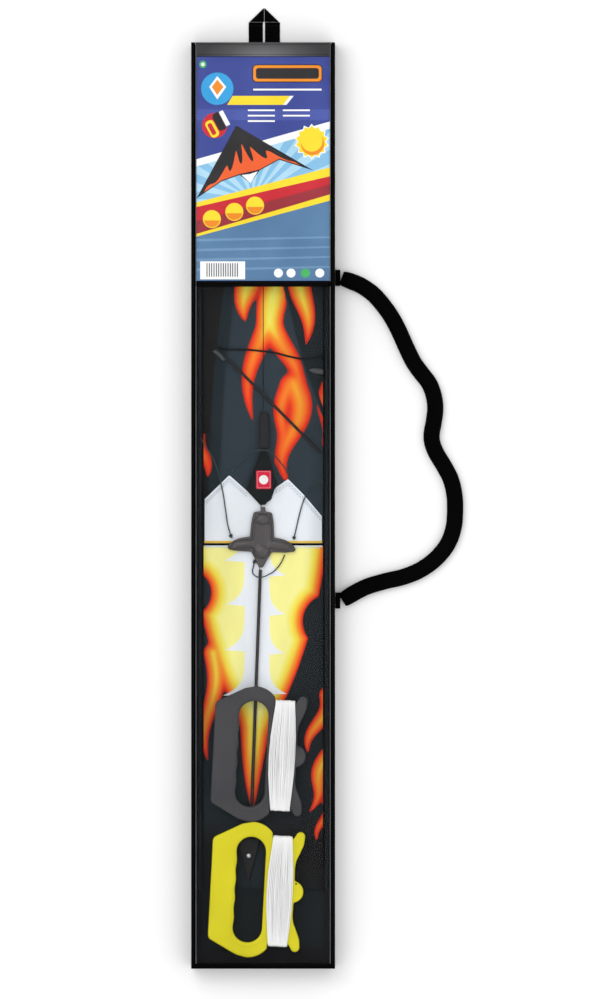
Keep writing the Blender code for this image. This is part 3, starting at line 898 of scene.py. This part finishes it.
def wing_print(x, y):
    """(flame, pale, tone, height) of the wing panels, in millimetres and shares."""
    left = x - column(LEFT_FOLD, y)
    right = x - column(CREASE, y)
    flame = depth_in(x, y, [lick(*sizes) for sizes in WING_LICKS])
    flame = np.minimum(flame, np.where(y > 60, left - 0.5, 40))
    flame *= 0.55 + 0.45 * step_at(y - 172, 30)
    # Painted shade: a soft Gaussian cuts the flames back to dark cloth in a line along the crease.
    flame -= 26 * np.exp(-(((right - 0.8) / 1.3) ** 2)) * step_at(y - 66, 8)
    # Painted shade: for about 13 mm in from the left fold the cloth is darker, with a soft step to
    # the lighter cloth beyond. The cloth right of the crease is darker as well.
    tone = 0.05 + 0.55 * step_at(left, 1.5) + 0.32 * step_at(left - 13, 5)
    tone -= 0.45 * step_at(right, 2.0) * step_at(y - 60, 10)
    height = 0.7 * step_at(left, 2.0) - 0.35 * step_at(right, 2.0) * step_at(y - 60, 10)
    return flame, np.full(x.shape, OUTSIDE), tone, height


def keel_print(x, y):
    """Plain pale panels, with painted shade at their sides where the sail rolls away."""
    # Painted shade: the pale print fades to the dark cloth over the last two millimetres at each
    # side.
    pale = 12 - 30 * step_at(np.abs(x) - 65.5, 2)
    return np.full(x.shape, OUTSIDE), pale, np.full(x.shape, 0.25), np.full(x.shape, 0.35)


def nose_print(x, y):
    """Yellow flames from the seam down to a tip beside the spine, with dark openings."""
    flame = depth_in(x, y, [lick(*sizes) for sizes in NOSE_LICKS])
    for (at_x, at_y), radius in NOSE_HOLLOWS:
        flame = np.minimum(flame, np.hypot(x - at_x, y - at_y) - radius)
    pale = stripe_depth(x, y)
    tone = 0.42 - 0.3 * step_at(-y - 380, 60) + 0.2 * step_at(-x - 20, 30) * step_at(y + 380, 50)
    tone += 0.42 * np.exp(-(((x + 10) / 24) ** 2)) * step_at(-y - 370, 30)
    return flame, np.minimum(pale, flame + 8), tone, np.full(x.shape, 0.25)


def outline_of(table, at):
    """One side of a panel's outline, in metres, from a list in millimetres."""
    xs, ys = zip(*table)
    return np.interp(at / MM, xs, ys) * MM


SAIL_GRAIN = 1.8 * MM  # between the points of a panel, fine enough to hold the print
SAIL_THICKNESS = 0.25 * MM


def sail_panel(kind, side, sides, upright, painted):
    """A sail panel between two outlines, with its print, its folds and its small wrinkles."""
    name, cad_node = f"{kind}_cloth_{side}", f"{kind}_panel_{side}"
    low, high = corners(cad_node)
    first, span = (1, 0) if upright else (0, 1)
    length, width = high[first] - low[first], high[span] - low[span]
    at = np.linspace(low[first], high[first], round(length / SAIL_GRAIN))
    across = np.linspace(0, 1, round(width / SAIL_GRAIN))
    start, end = (outline_of(outline, at) for outline in sides)
    run, share = np.meshgrid(at, across, indexing="ij")
    other = start[:, None] + (end - start)[:, None] * share
    x, y = (other, run) if upright else (run, other)
    flame, pale, tone, height = painted(x / MM, y / MM)
    wrinkle = 0.28 * ripples(x, y, 7, 34 * MM, 0.2) + 0.12 * ripples(x, y, 11, 12 * MM, 0.5)
    top = low[2] + 0.55 * MM + (0.65 * height + 0.3 * wrinkle) * MM
    levels = (top, top - SAIL_THICKNESS)
    mesh = shell(name, *(np.stack([x, y, level], -1) for level in levels))
    fire, middle = 0.5 + flame * PRINT_SCALE, 0.5 + pale * PRINT_SCALE * 2
    for label, values in (("fire", fire), ("pale", middle), ("tone", tone)):
        stored = mesh.attributes.new(label, "FLOAT", "POINT")
        stored.data.foreach_set("value", np.tile(values.reshape(-1), 2).astype(np.float32))
    obj = stand_in(cad_node, name, mesh, "ripstop", "kite")


# The arches between the keel panels and the wings, as (x, y) in millimetres
KEEL_ARCH_LEFT = [(-66.5, -14.5), (-37.9, 13.4), (-17.9, -4.4), (-3, -20.5)]
KEEL_ARCH_RIGHT = [(-2.2, -20.6), (8.8, -14.3), (13.2, -1), (27.7, 9), (45.5, -8.8), (66.5, -33.7)]
WING_FOOT_LEFT = [(-66.5, -13.7), (-37.9, 14.3), (-17.7, -3.6), (-0.4, -18.8)]
WING_FOOT_RIGHT = [
    (0.4, -18.4), (8.2, -13.8), (12.7, -0.4), (27.7, 9.9), (45.5, -8), (66.5, -33),
]
# The inner edges of the nose panels, beside the spine, as (y, x) in millimetres
NOSE_CUT_LEFT = [(-448, -14.6), (-410, -14), (-65.6, -3.6)]
NOSE_CUT_RIGHT = [(-448, -13.8), (-410, -13.2), (-65.6, -2.8)]


def sail():
    """The front layer of the folded sail, panel by panel, and the plain layer under the rods."""
    half, top, _ = corners("wing_panel_right")[1] / MM
    seam = corners("keel_panel_left")[0][1] / MM
    level_top, level_seam = ([(-half, y), (half, y)] for y in (top, seam))
    side_left, side_right = ([(-448, x), (-65, x)] for x in (-half, half))
    wings = [(WING_FOOT_LEFT, level_top), (WING_FOOT_RIGHT, level_top)]
    keels = [(level_seam, KEEL_ARCH_LEFT), (level_seam, KEEL_ARCH_RIGHT)]
    noses = [(side_left, NOSE_CUT_LEFT), (NOSE_CUT_RIGHT, side_right)]
    for kind, panels, upright, painted, cloth in (
        ("wing", wings, False, wing_print, "dark"),
        ("keel", keels, False, keel_print, "pale"),
        ("nose", noses, True, nose_print, "flame"),
    ):
        for side, sides in zip(SIDES, panels):
            sail_panel(kind, side, sides, upright, painted)
    for side in SIDES:
        low, high = corners(f"under_sail_{side}")
        obj = under_layer(side, low, high)


def under_layer(side, low, high):
    """The hidden layer of sail, with the spine's slant down its inner side."""
    rows, columns = 140, 18
    y = np.linspace(low[1], high[1], rows)
    edge = [-9, -9, -0.4, -0.4] if side == "left" else [-8.2, -8.2, 0.4, 0.4]
    inner = np.interp(y / MM, [-515, -400, -60, 468], edge) * MM
    outer = np.full(y.shape, low[0] if side == "left" else high[0])
    start, end = (outer, inner) if side == "left" else (inner, outer)
    x = start[:, None] + (end - start)[:, None] * np.linspace(0, 1, columns)
    y = np.repeat(y[:, None], columns, axis=1)
    level = (low[2] + high[2]) / 2 + 0.2 * MM * ripples(x, y, 3, 40 * MM)
    grids = [np.stack([x, y, level + lift], -1) for lift in (0.15 * MM, -0.15 * MM)]
    name = f"under_cloth_{side}"
    mesh = shell(name, *grids)
    return stand_in(f"under_sail_{side}", name, mesh, "dark_cloth", "kite")


def along_line(points, inset, level):
    """Runs between successive points of an arch, moved down by an inset."""
    moved = [(x * MM, (y - inset) * MM, level) for x, y in points]
    return list(zip(moved, moved[1:]))


# Each tape's name, foot, top and finish, and the patch's outline, in millimetres
SEAM_TAPES = [
    ("yellow", -62.4, -60.0, "tape_yellow"), ("black", -65.0, -62.6, "tape"),
    ("white", -67.0, -65.2, "pale_hem"),
]
PATCH = [(-2, 42.7), (4, 42.7), (15.5, 3), (2.8, -19.5), (-2.8, -19.5), (-19, -2.5)]


def sail_trim():
    """Hems, stitching, the patch over the spine's end and the plain label on it."""
    level = SAIL_FACE - 0.35 * MM
    for side, arch in (("left", KEEL_ARCH_LEFT[:-1]), ("right", KEEL_ARCH_RIGHT[2:])):
        runs = along_line(arch, 3.6, level) + along_line(arch, 6.4, level)
        stitches(f"keel_hem_stitches_{side}", runs, "teal_thread", "kite")
    for label, foot, top, finish in SEAM_TAPES:
        for side, left, right in (("left", -66, -5), ("right", -1, 66)):
            low = (left * MM, foot * MM, level - 0.1 * MM)
            high = (right * MM, top * MM, level + 0.25 * MM)
            strip(f"seam_{label}_tape_{side}", low, high, finish, "kite")
    seams = [
        ((start * MM, -68.3 * MM, level), (end * MM, -68.3 * MM, level))
        for start, end in ((-64, -6), (-2, 64))
    ]
    stitches("nose_seam_stitches", seams, "label_white", "kite")
    name = "spine_end_patch"
    plate("tail_patch", name, [scaled(PATCH)], 0.25 * MM, "patch", "kite")
    slab(
        "plain_label", "fabric_label", "red_label", "kite",
        step=2 * MM, rim=0.4 * MM,
    )
    low, high = corners("fabric_label")
    face = high[2]
    centre = Matrix.Translation((*(low + high)[:2] / 2, face + 0.05 * MM))
    stud(
        "label_disc", centre, 5.2 * MM, 5.0 * MM, 0.3 * MM, 40,
        "label_white", "kite",
    )
    left, foot = (low + 1.2 * MM)[:2]
    right, top = (high - 1.2 * MM)[:2]
    frame_of = [(left, foot, face), (right, foot, face), (right, top, face), (left, top, face)]
    stitches(
        "label_stitches", list(zip(frame_of, frame_of[1:] + frame_of[:1])),
        "label_white", "kite", 1.2 * MM, 2.0 * MM, 0.35 * MM,
    )


def knot(name, at, finish, turn, size):
    """A small tight overhand knot in a bridle cord."""
    thick = 0.62 * MM * size
    steps = 60
    way = []
    for i in range(steps + 1):
        t = 2 * math.pi * i / steps
        across = math.sin(t) + 2 * math.sin(2 * t)
        along = math.cos(t) - 2 * math.cos(2 * t)
        loop = Matrix.Rotation(turn, 3, "Z") @ Vector((across, along, -math.sin(3 * t)))
        way.append(Vector(at) + loop * thick)
    mesh = sweep(name, way, lambda _: oval(thick, thick, 10))
    piece(name, mesh, finish, "kite")


def knots():
    """At the ends of the bridle and tail cords, and of the braid at the spreader clips."""
    for name, at, turn, size in (
        ("left_bridle_knot", (-36, -54.5, 11.2), 0.4, 1.0),
        ("loop_knot", (-9.6, -83, 11.2), 1.1, 1.0),
        ("right_bridle_knot", (34.4, -56.5, 11.2), 2.0, 0.9),
        ("tail_knot_left", (-34.4, 19, 11.0), 0.8, 0.9),
        ("tail_knot_right", (27.6, 17, 11.0), 2.6, 0.9),
        ("braid_knot_left", (-48.5, 154.8, 12.6), 0.2, 1.2),
        ("braid_knot_right", (64, 145.6, 12.6), 1.5, 1.2),
    ):
        knot(name, scaled([at])[0], "braid" if "braid" in name else "bridle", turn, size)


def leading_edges():
    """The fabric tubes along the sail's two leading edges, slightly puckered."""
    for side in SIDES:
        cad_node = f"leading_edge_pocket_{side}"
        low, high = corners(cad_node)
        radius = (high[0] - low[0]) / 2 - 0.1 * MM
        x, _, z = (low + high) / 2
        route = [(x, y, z) for y in np.linspace(low[1], high[1], 261)]
        draw = random.Random(len(side))
        phases = [draw.uniform(0, 6.3) for _ in range(4)]

        def section(share):
            ring = []
            for j, (u, v) in enumerate(oval(radius, radius, 24)):
                t = 2 * math.pi * j / 24
                pucker = sum(
                    math.sin(share * (90 + 47 * k) + p + t * (k % 2))
                    for k, p in enumerate(phases)
                )
                reach = 0.965 + 0.008 * pucker
                ring.append((reach * u, reach * v))
            return ring

        name = f"leading_edge_cloth_{side}"
        mesh = sweep(name, route, section)
        stand_in(cad_node, name, mesh, "dark_cloth", "kite")


# --- The kite's frame ---


def kite_frame():
    """The rods, their end caps, the spreader clips and the nose fitting."""
    rod("spine_upper_rod", "spine_tail_section", "spine")
    rod("spine_lower_rod", "spine_nose_section", "spine")
    rod("upper_spreader_rod", "upper_spreader", "rod")
    for side in SIDES:
        rod(f"lower_spreader_rod_{side}", f"lower_spreader_{side}", "rod")
        rod(f"stand_off_rod_{side}", f"stand_off_{side}", "rod")
        rod(f"edge_rod_{side}", f"leading_edge_rod_{side}", "rod")
        rod(f"tip_cap_{side}", f"wing_tip_cap_{side}", "rubber")
    for name, cad_node, finish, slot in (
        ("spine_end_cap", "spine_tail_cap", "rubber", "rubber_fitting"),
        ("nose_fitting", "nose_cap", "rubber", "rubber_fitting"),
        ("left_clip_moulding", "left_spreader_clip", "clip", "grey_clip"),
        ("right_clip_moulding", "right_spreader_clip", "clip", "grey_clip"),
    ):
        mesh = moulded(name, cad_copy(cad_node), 0.45 * MM, 4)
        stand_in(cad_node, name, mesh, finish, "kite")
    low, high = corners("nose_rivet")
    foot = Matrix.Translation((*(low + high)[:2] / 2, low[2] + 0.2 * MM))
    shape = bmesh.new()
    ellipsoid(shape, foot, (2.5 * MM, 2.5 * MM, 1.0 * MM), 24, 12)
    mesh = finished("rivet_dome", shape, 60)
    stand_in("nose_rivet", "rivet_dome", mesh, "steel", "kite")


HUB_AT = (-1.7 * MM, -65 * MM, 0)
HUB_TILT = math.radians(-2)
HUB_FOOT = 9.5 * MM


def hub():
    """The centre fitting: a waisted body with a domed top, two swept arms and a pointed skirt."""
    shape = bmesh.new()

    def ball(x, y, z, wide, long, high, turn=0.0):
        at, sizes = scaled([(x, y, z), (wide, long, high)])
        ellipsoid(shape, turned(at, turn), sizes, 32, 20)

    place = turned(HUB_AT, HUB_TILT)
    base = cad_copy("centre_hub")
    base.transform(place.inverted())
    for vertex in base.vertices:
        vertex.co.z = HUB_FOOT + (vertex.co.z - HUB_FOOT) * 0.5
    shape.from_mesh(base)
    upper = [(7.6, 35), (9.6, 24), (10.4, 0), (7, -6)]
    upper += [(-x, y) for x, y in reversed(upper)]
    prism(shape, scaled(upper), 12 * MM, 15.4 * MM)
    for side in (1, -1):
        ball(17 * side, 1.0, 13.0, 17.5, 5.6, 3.2, -0.12 * side)
        ball(28 * side, -2.0, 13.4, 8.0, 3.0, 2.0, -0.30 * side)
        ball(9.6 * side, 14, 15.2, 1.3, 17, 1.3, 0.05 * side)
    ball(0, 28.5, 15.6, 6.2, 5.4, 1.9)
    ball(0, -6, 13.0, 9.5, 9, 4.0)
    turns = 18
    for i in range(turns + 1):
        angle = math.pi * i / turns
        ball(7.4 * math.cos(angle), 25 + 8.6 * math.sin(angle), 16.0, 1.1, 1.1, 1.3)
    mesh = moulded("hub_moulding", finished("hub_form", shape), 0.55 * MM, 5)
    mesh.transform(place)
    stand_in("centre_hub", "hub_moulding", mesh, "hub", "kite")


# --- The winders ---


def winder(colour):
    """A moulded line winder with a thicker grip, a ring round the opening and a line hole."""
    place = winder_place(colour)
    name = f"{colour}_winder_moulding"
    mesh = moulded(name, cad_copy(f"{colour}_winder"), 0.85 * MM, 9)
    back = place.inverted()
    for vertex in mesh.vertices:
        local = back @ vertex.co
        if abs(local.z) > 2.2 * MM:  # on the front or the back, not on the edge
            grip = min(1.0, max(0.0, (GRIP_EDGE - local.x) / (3 * MM) + 0.5))
            beyond = max(0.0, abs(local.y) - OPENING_STRAIGHT)
            off = math.hypot(local.x - OPENING_X, beyond) - RING_RADIUS
            ring = math.exp(-((off / RING_WIDTH) ** 2))
            local.z += math.copysign((0.8 * grip + 0.6 * ring) * MM, local.z)
            vertex.co = place @ local
    body, slot = f"{colour}_winder_set", f"{colour}_plastic"
    stand_in(f"{colour}_winder", name, mesh, colour, body)
    at = place @ Matrix.Translation(LINE_HOLE)
    name = f"{colour}_line_eyelet"
    stud(name, at, 1.1 * MM, 0.9 * MM, 0.5 * MM, 20, "rubber", body)


# --- The sleeve ---


def sleeve():
    """The walls and the clear front, then the bands and pipings that bind them."""
    for name, cad_node, finish, slot, thin, wave in (
        ("back_cloth", "sleeve_back_panel", "nylon", "sleeve_nylon", 2, 0.12),
        ("left_gusset_cloth", "sleeve_left_gusset", "nylon", "sleeve_nylon", 0, 0.1),
        ("right_gusset_cloth", "sleeve_right_gusset", "nylon", "sleeve_nylon", 0, 0.1),
        ("foot_cloth", "sleeve_foot_panel", "nylon", "sleeve_nylon", 1, 0.0),
        ("pocket_cloth", "card_pocket_lining", "lining", "pocket_lining", 2, 0.08),
        ("main_clear_front", "main_window", "vinyl", "clear_vinyl", 2, 0.1),
        ("card_clear_front", "card_window", "vinyl", "clear_vinyl", 2, 0.05),
    ):
        obj = slab(name, cad_node, finish, "sleeve", thin=thin, wave=wave * MM)
    for name, cad_node, finish, slot, rim in (
        ("mouth_hem", "mouth_hem_band", "hem", "sleeve_nylon", 1.5),
        ("divider_band", "window_divider_tape", "tape", "binding_tape", 0.6),
        ("foot_band", "foot_binding", "tape", "binding_tape", 0.6),
        ("left_edge_piping", "left_piping", "tape", "binding_tape", 1.9),
        ("right_edge_piping", "right_piping", "tape", "binding_tape", 1.9),
    ):
        slab(name, cad_node, finish, "sleeve", rim=rim * MM, step=4 * MM, wave=0.04 * MM)
    welts()
    sleeve_stitching()


def welts():
    """The thin grey lip where the clear front goes into each piping."""
    for side, sign in (("left", -1), ("right", 1)):
        x = sign * (WINDOW_SIDE - 0.7 * MM)
        ends = (FOOT + 3 * MM, MOUTH - 3 * MM)
        route = [(x, y, FRONT - 0.35 * MM) for y in np.linspace(*ends, 61)]
        name = f"window_lip_{side}"
        mesh = sweep(name, route, lambda _: oval(0.4 * MM, 0.3 * MM, 10))
        piece(name, mesh, "welt", "sleeve")


def sleeve_stitching():
    level = FRONT + 0.05 * MM
    across = WINDOW_SIDE - 3 * MM
    heights = [MOUTH - 2.2 * MM, CARD_TOP + 2.4 * MM, CARD_FOOT - 2 * MM]
    heights += [WINDOW_TOP + 2 * MM, WINDOW_FOOT - 2 * MM]
    rows = [((-across, y, level), (across, y, level)) for y in heights]
    for x in (2.2 * MM - SIDE, SIDE - 2.2 * MM):
        rows.append(((x, FOOT + 3 * MM, level), (x, MOUTH - 3 * MM, level)))
    stitches("sleeve_stitches", rows, "thread", "sleeve")


def hanger():
    """Two webbing legs and the peak that they are folded into."""
    runs = []
    for side in SIDES:
        cad_node = f"hanger_{side}_leg"
        slab(
            f"hanger_web_{side}", cad_node, "webbing", "hanger",
            step=2 * MM, rim=0.5 * MM, crown=0.1,
        )
        low, high = corners(cad_node)
        ends = (low[0] + 2 * MM, high[0] - 2 * MM)
        for y in (498 * MM, 515 * MM):
            runs.append([(x, y, high[2]) for x in ends])
    low, high = corners("hanger_peak")
    middle = (low[0] + high[0]) / 2
    flaps = []
    for inner, outer in ((middle - 0.3 * MM, low[0]), (middle + 0.3 * MM, high[0])):
        flaps.append([(inner, low[1]), (outer, low[1]), (inner, high[1] - 0.4 * MM)])
    plate("hanger_peak", "hanger_fold", flaps, 0.35 * MM, "webbing", "hanger")
    stitches("hanger_stitches", runs, "thread", "hanger")


# --- The header card ---

CARD_COLOURS = {
    "deep_blue": "#313f8d", "blue_light": "#3f4e9d", "sky": "#7fb8dd", "ray": "#a9d3ea",
    "sea": "#4f769c", "sea_light": "#658cb0", "white": "#f2f4f5", "yellow": "#f3d624",
    "orange": "#ea8717", "red": "#c41a28", "maroon": "#94232f", "dark": "#1b181a",
    "flame": "#e85a22", "green": "#3fae5a", "grey": "#57565a", "disc_blue": "#2d9bd8",
}
PRINT_STEP = 0.035 * MM  # from one layer of ink to the next
CARD_HALF = 76  # millimetres, past the card's edge, where every shape is trimmed


def disc(x, y, radius, count=36):
    return [(x + u, y + v) for u, v in oval(radius, radius, count)]


def star(x, y, inner, outer, points):
    """A burst with this many points."""
    outline = []
    for i in range(2 * points):
        reach = outer if i % 2 else inner
        turn = math.pi * i / points
        outline.append((x + reach * math.cos(turn), y + reach * math.sin(turn)))
    return outline


def bar(left, foot, right, top, radius=0.0):
    """A rectangle, with round corners if it has a radius."""
    if not radius:
        return [(left, foot), (right, foot), (right, top), (left, top)]
    outline = []
    for x, y, start in (
        (right - radius, top - radius, 0), (left + radius, top - radius, 90),
        (left + radius, foot + radius, 180), (right - radius, foot + radius, 270),
    ):
        for i in range(7):
            turn = math.radians(start + 15 * i)
            outline.append((x + radius * math.cos(turn), y + radius * math.sin(turn)))
    return outline


def trimmed(outline, left, foot, right, top):
    """The part of an outline that is inside a rectangle."""
    for axis, edge, sign in ((0, left, 1), (0, right, -1), (1, foot, 1), (1, top, -1)):
        kept = []
        for a, b in zip(outline, outline[1:] + outline[:1]):
            in_a, in_b = (sign * (p[axis] - edge) >= 0 for p in (a, b))
            if in_a:
                kept.append(a)
            if in_a != in_b:
                share = (edge - a[axis]) / (b[axis] - a[axis])
                kept.append((a[0] + (b[0] - a[0]) * share, a[1] + (b[1] - a[1]) * share))
        outline = kept
    return outline


def slanted(left, left_top, right, right_top):
    """A band across the card between two heights on its left side and two on its right."""
    return [(-CARD_HALF, left), (CARD_HALF, right), (CARD_HALF, right_top), (-CARD_HALF, left_top)]


def card_art():
    """Plain shapes as (level, colour, outline in millimetres), with no lettering or people."""
    art = [(1, "sky", slanted(300, 360, 350, 403)), (1, "sea", slanted(225, 279, 225, 322))]
    rays = 22
    for i in range(rays):
        a, b = (2 * math.pi * (i + part) / rays for part in (0, 0.5))
        tips = [(-12 + 120 * math.cos(t), 320 + 120 * math.sin(t)) for t in (a, b)]
        art.append((2, "ray", between_bands([(-12, 320), *tips])))
    art.append((3, "white", slanted(356, 364, 399, 407)))
    for i in range(4):
        y = 240 + 11 * i
        art.append((2, "sea_light", slanted(y, y + 3, y + 4, y + 6)))
    art += [
        (3, "yellow", slanted(278, 316, 319, 356)),
        (4, "maroon", slanted(281, 311, 326, 346)),
        (5, "red", slanted(295, 311, 337, 346)),
        (1, "blue_light", bar(-CARD_HALF, 408, CARD_HALF, 420)),
        (1, "green", disc(-67, 470, 4)),
        (2, "white", disc(-67, 470, 2.0, 20)),
        (1, "disc_blue", disc(-51, 443, 18)),
        (2, "white", [(-51, 457), (-41, 445), (-51, 431), (-60, 445)]),
        (3, "orange", [(-51, 453), (-44, 445), (-51, 436), (-57, 445)]),
        (1, "dark", bar(-12, 450, 66, 470, 5)),
        (2, "orange", bar(-11, 451, 65, 469, 4)),
        (3, "dark", bar(-8, 454, 62, 466, 3)),
        (1, "white", bar(-11, 441, 65, 443)),
        (2, "yellow", [(-40, 425), (22, 425), (30, 435), (-34, 435)]),
        (2, "white", [(22, 425), (26, 425), (34, 435), (30, 435)]),
        (2, "red", disc(-54, 402, 14)),
        (3, "yellow", tilted(bar(-63, 391, -53, 411, 4))),
        (4, "red", tilted(bar(-61, 394, -56, 408, 2))),
        (3, "dark", tilted(bar(-52, 394, -42, 415, 4))),
        (4, "white", tilted(bar(-43, 396, -38, 414, 1))),
    ]
    for y in (419, 413, 407):
        art.append((3, "white", bar(-17, y - 0.9, 13, y + 0.9)))
        if y > 410:
            art.append((3, "white", bar(22, y - 0.9, 52, y + 0.9)))
    art += [
        (4, "white", star(54, 384, 16, 20, 14)),
        (5, "yellow", star(54, 384, 15, 18, 14)),
        (6, "orange", disc(55, 382, 13)),
        (7, "yellow", disc(54, 385, 12)),
    ]
    art += kite_picture()
    for x, y in ((-57, 298), (-32, 306), (-9, 313)):
        art.append((6, "yellow", disc(x, y, 10)))
        art.append((7, "orange", trimmed(disc(x, y, 9), -80, 200, 80, y - 1.5)))
    art.append((3, "white", bar(-70, 231, -20, 251)))
    for i in range(14):
        x = -63 + 2.6 * i
        art.append((4, "grey", bar(x, 234, x + 1.2, 249)))
    for x, colour in ((17, "white"), (31, "white"), (47, "green"), (63, "white")):
        art.append((3, colour, disc(x, 238, 5, 28)))
    return art


def between_bands(outline):
    """The part of a sun ray that shows between the banner and the white band."""
    kept = trimmed(outline, -75, 281, 75, 401)
    return [(x, max(317.5 + 0.27 * x, min(y, 380 + 0.287 * x))) for x, y in kept]


def tilted(outline):
    """The small winders' lean, about the middle of their disc."""
    turn = math.radians(28)
    x0, y0 = -52, 402.5
    return [
        (x0 + (x - x0) * math.cos(turn) - (y - y0) * math.sin(turn),
         y0 + (x - x0) * math.sin(turn) + (y - y0) * math.cos(turn))
        for x, y in outline
    ]


def kite_picture():
    """A plain delta with a fire-coloured lower half."""
    nose, tail = (-30, 402), (-14, 338)
    edge = [(-74, 321), (-46, 340), (-26, 347), (-4, 352), (18, 364), (56, 352)]
    art = [(4, "dark", [nose, *edge[:3], tail, *edge[3:]])]
    fire = []
    base = []
    for i in range(81):
        share = 0.06 + 0.86 * i / 80
        along = share * (len(edge) - 1)
        k = min(int(along), len(edge) - 2)
        x = edge[k][0] + (edge[k + 1][0] - edge[k][0]) * (along - k)
        y = edge[k][1] + (edge[k + 1][1] - edge[k][1]) * (along - k) + 1.2
        room = math.dist((x, y), nose)
        flicker = 0.35 + 0.65 * abs(math.sin(7 * math.pi * share)) ** 2.2
        rise = min(0.62 * room, (5 + 27 * math.sin(math.pi * share) ** 2) * flicker)
        base.append((x, y))
        fire.append((x + (nose[0] - x) * rise / room, y + (nose[1] - y) * rise / room))
    art.append((5, "flame", fire + base[::-1]))
    art.append((5, "white", [(-24, 347), tail, (-6, 351), (-15, 348)]))
    return art


def card():
    """The printed card: a stiff sheet with its colours laid on as thin layers of ink."""
    slab(
        "card_sheet", "header_card", "ink_deep_blue", "card",
        step=12 * MM, rim=0.15 * MM,
    )
    low, high = corners("header_card")
    margin = 0.3
    left, foot = low[:2] / MM + margin
    right, top = high[:2] / MM - margin
    shape = bmesh.new()
    names = list(CARD_COLOURS)
    for level, colour, outline in card_art():
        outline = trimmed(outline, left, foot, right, top)
        kept = [p for p, q in zip(outline, outline[1:] + outline[:1]) if math.dist(p, q) > 0.02]
        if len(kept) < 3:
            continue
        face = high[2] + (level - 0.8) * PRINT_STEP
        prism(shape, scaled(kept), face, face + 0.8 * PRINT_STEP)
        for made in shape.faces[-len(kept) - 2 :]:
            made.material_index = names.index(colour)
    mesh = finished("card_print", shape, 20)
    piece("card_print", mesh, f"ink_{names[0]}", "card")
    for name in names[1:]:
        mesh.materials.append(LOOKS[f"ink_{name}"])


def card_looks():
    """Semi-gloss ink on board, one material a colour."""
    made = {}
    for name, code in CARD_COLOURS.items():
        ink = look(f"ink_{name}", code, 0.45, 0.2)
        shares = [int(code[i : i + 2], 16) for i in (1, 3, 5)]
        lighter = "#" + "".join(f"{min(255, s + 12):02x}" for s in shares)
        mottled(ink, code, lighter, 40 * MM)
        made[f"ink_{name}"] = bumped(ink, noise_of(ink, 0.5 * MM, 2.0), 0.02 * MM, 0.3)
    return made


def main():
    camera()
    LOOKS.update(materials())
    LOOKS.update(card_looks())
    strap()
    for name, cad_node in (
        ("left_bridle_cord", "bridle_left"), ("right_bridle_cord", "bridle_right"),
        ("loop_bridle_cord", "bridle_loop"), ("tail_cord", "tail_line"),
    ):
        cord(name, cad_node, "bridle")
    cord("braid", "braided_cord", "braid", BRAID, 4, True, 0.9 * MM)
    for seed, colour in enumerate(WINDERS):
        winding(colour, seed + 5)
        winder(colour)
    sleeve()
    hanger()
    card()
    sail()
    sail_trim()
    knots()
    leading_edges()
    kite_frame()
    hub()
    studio()


main()
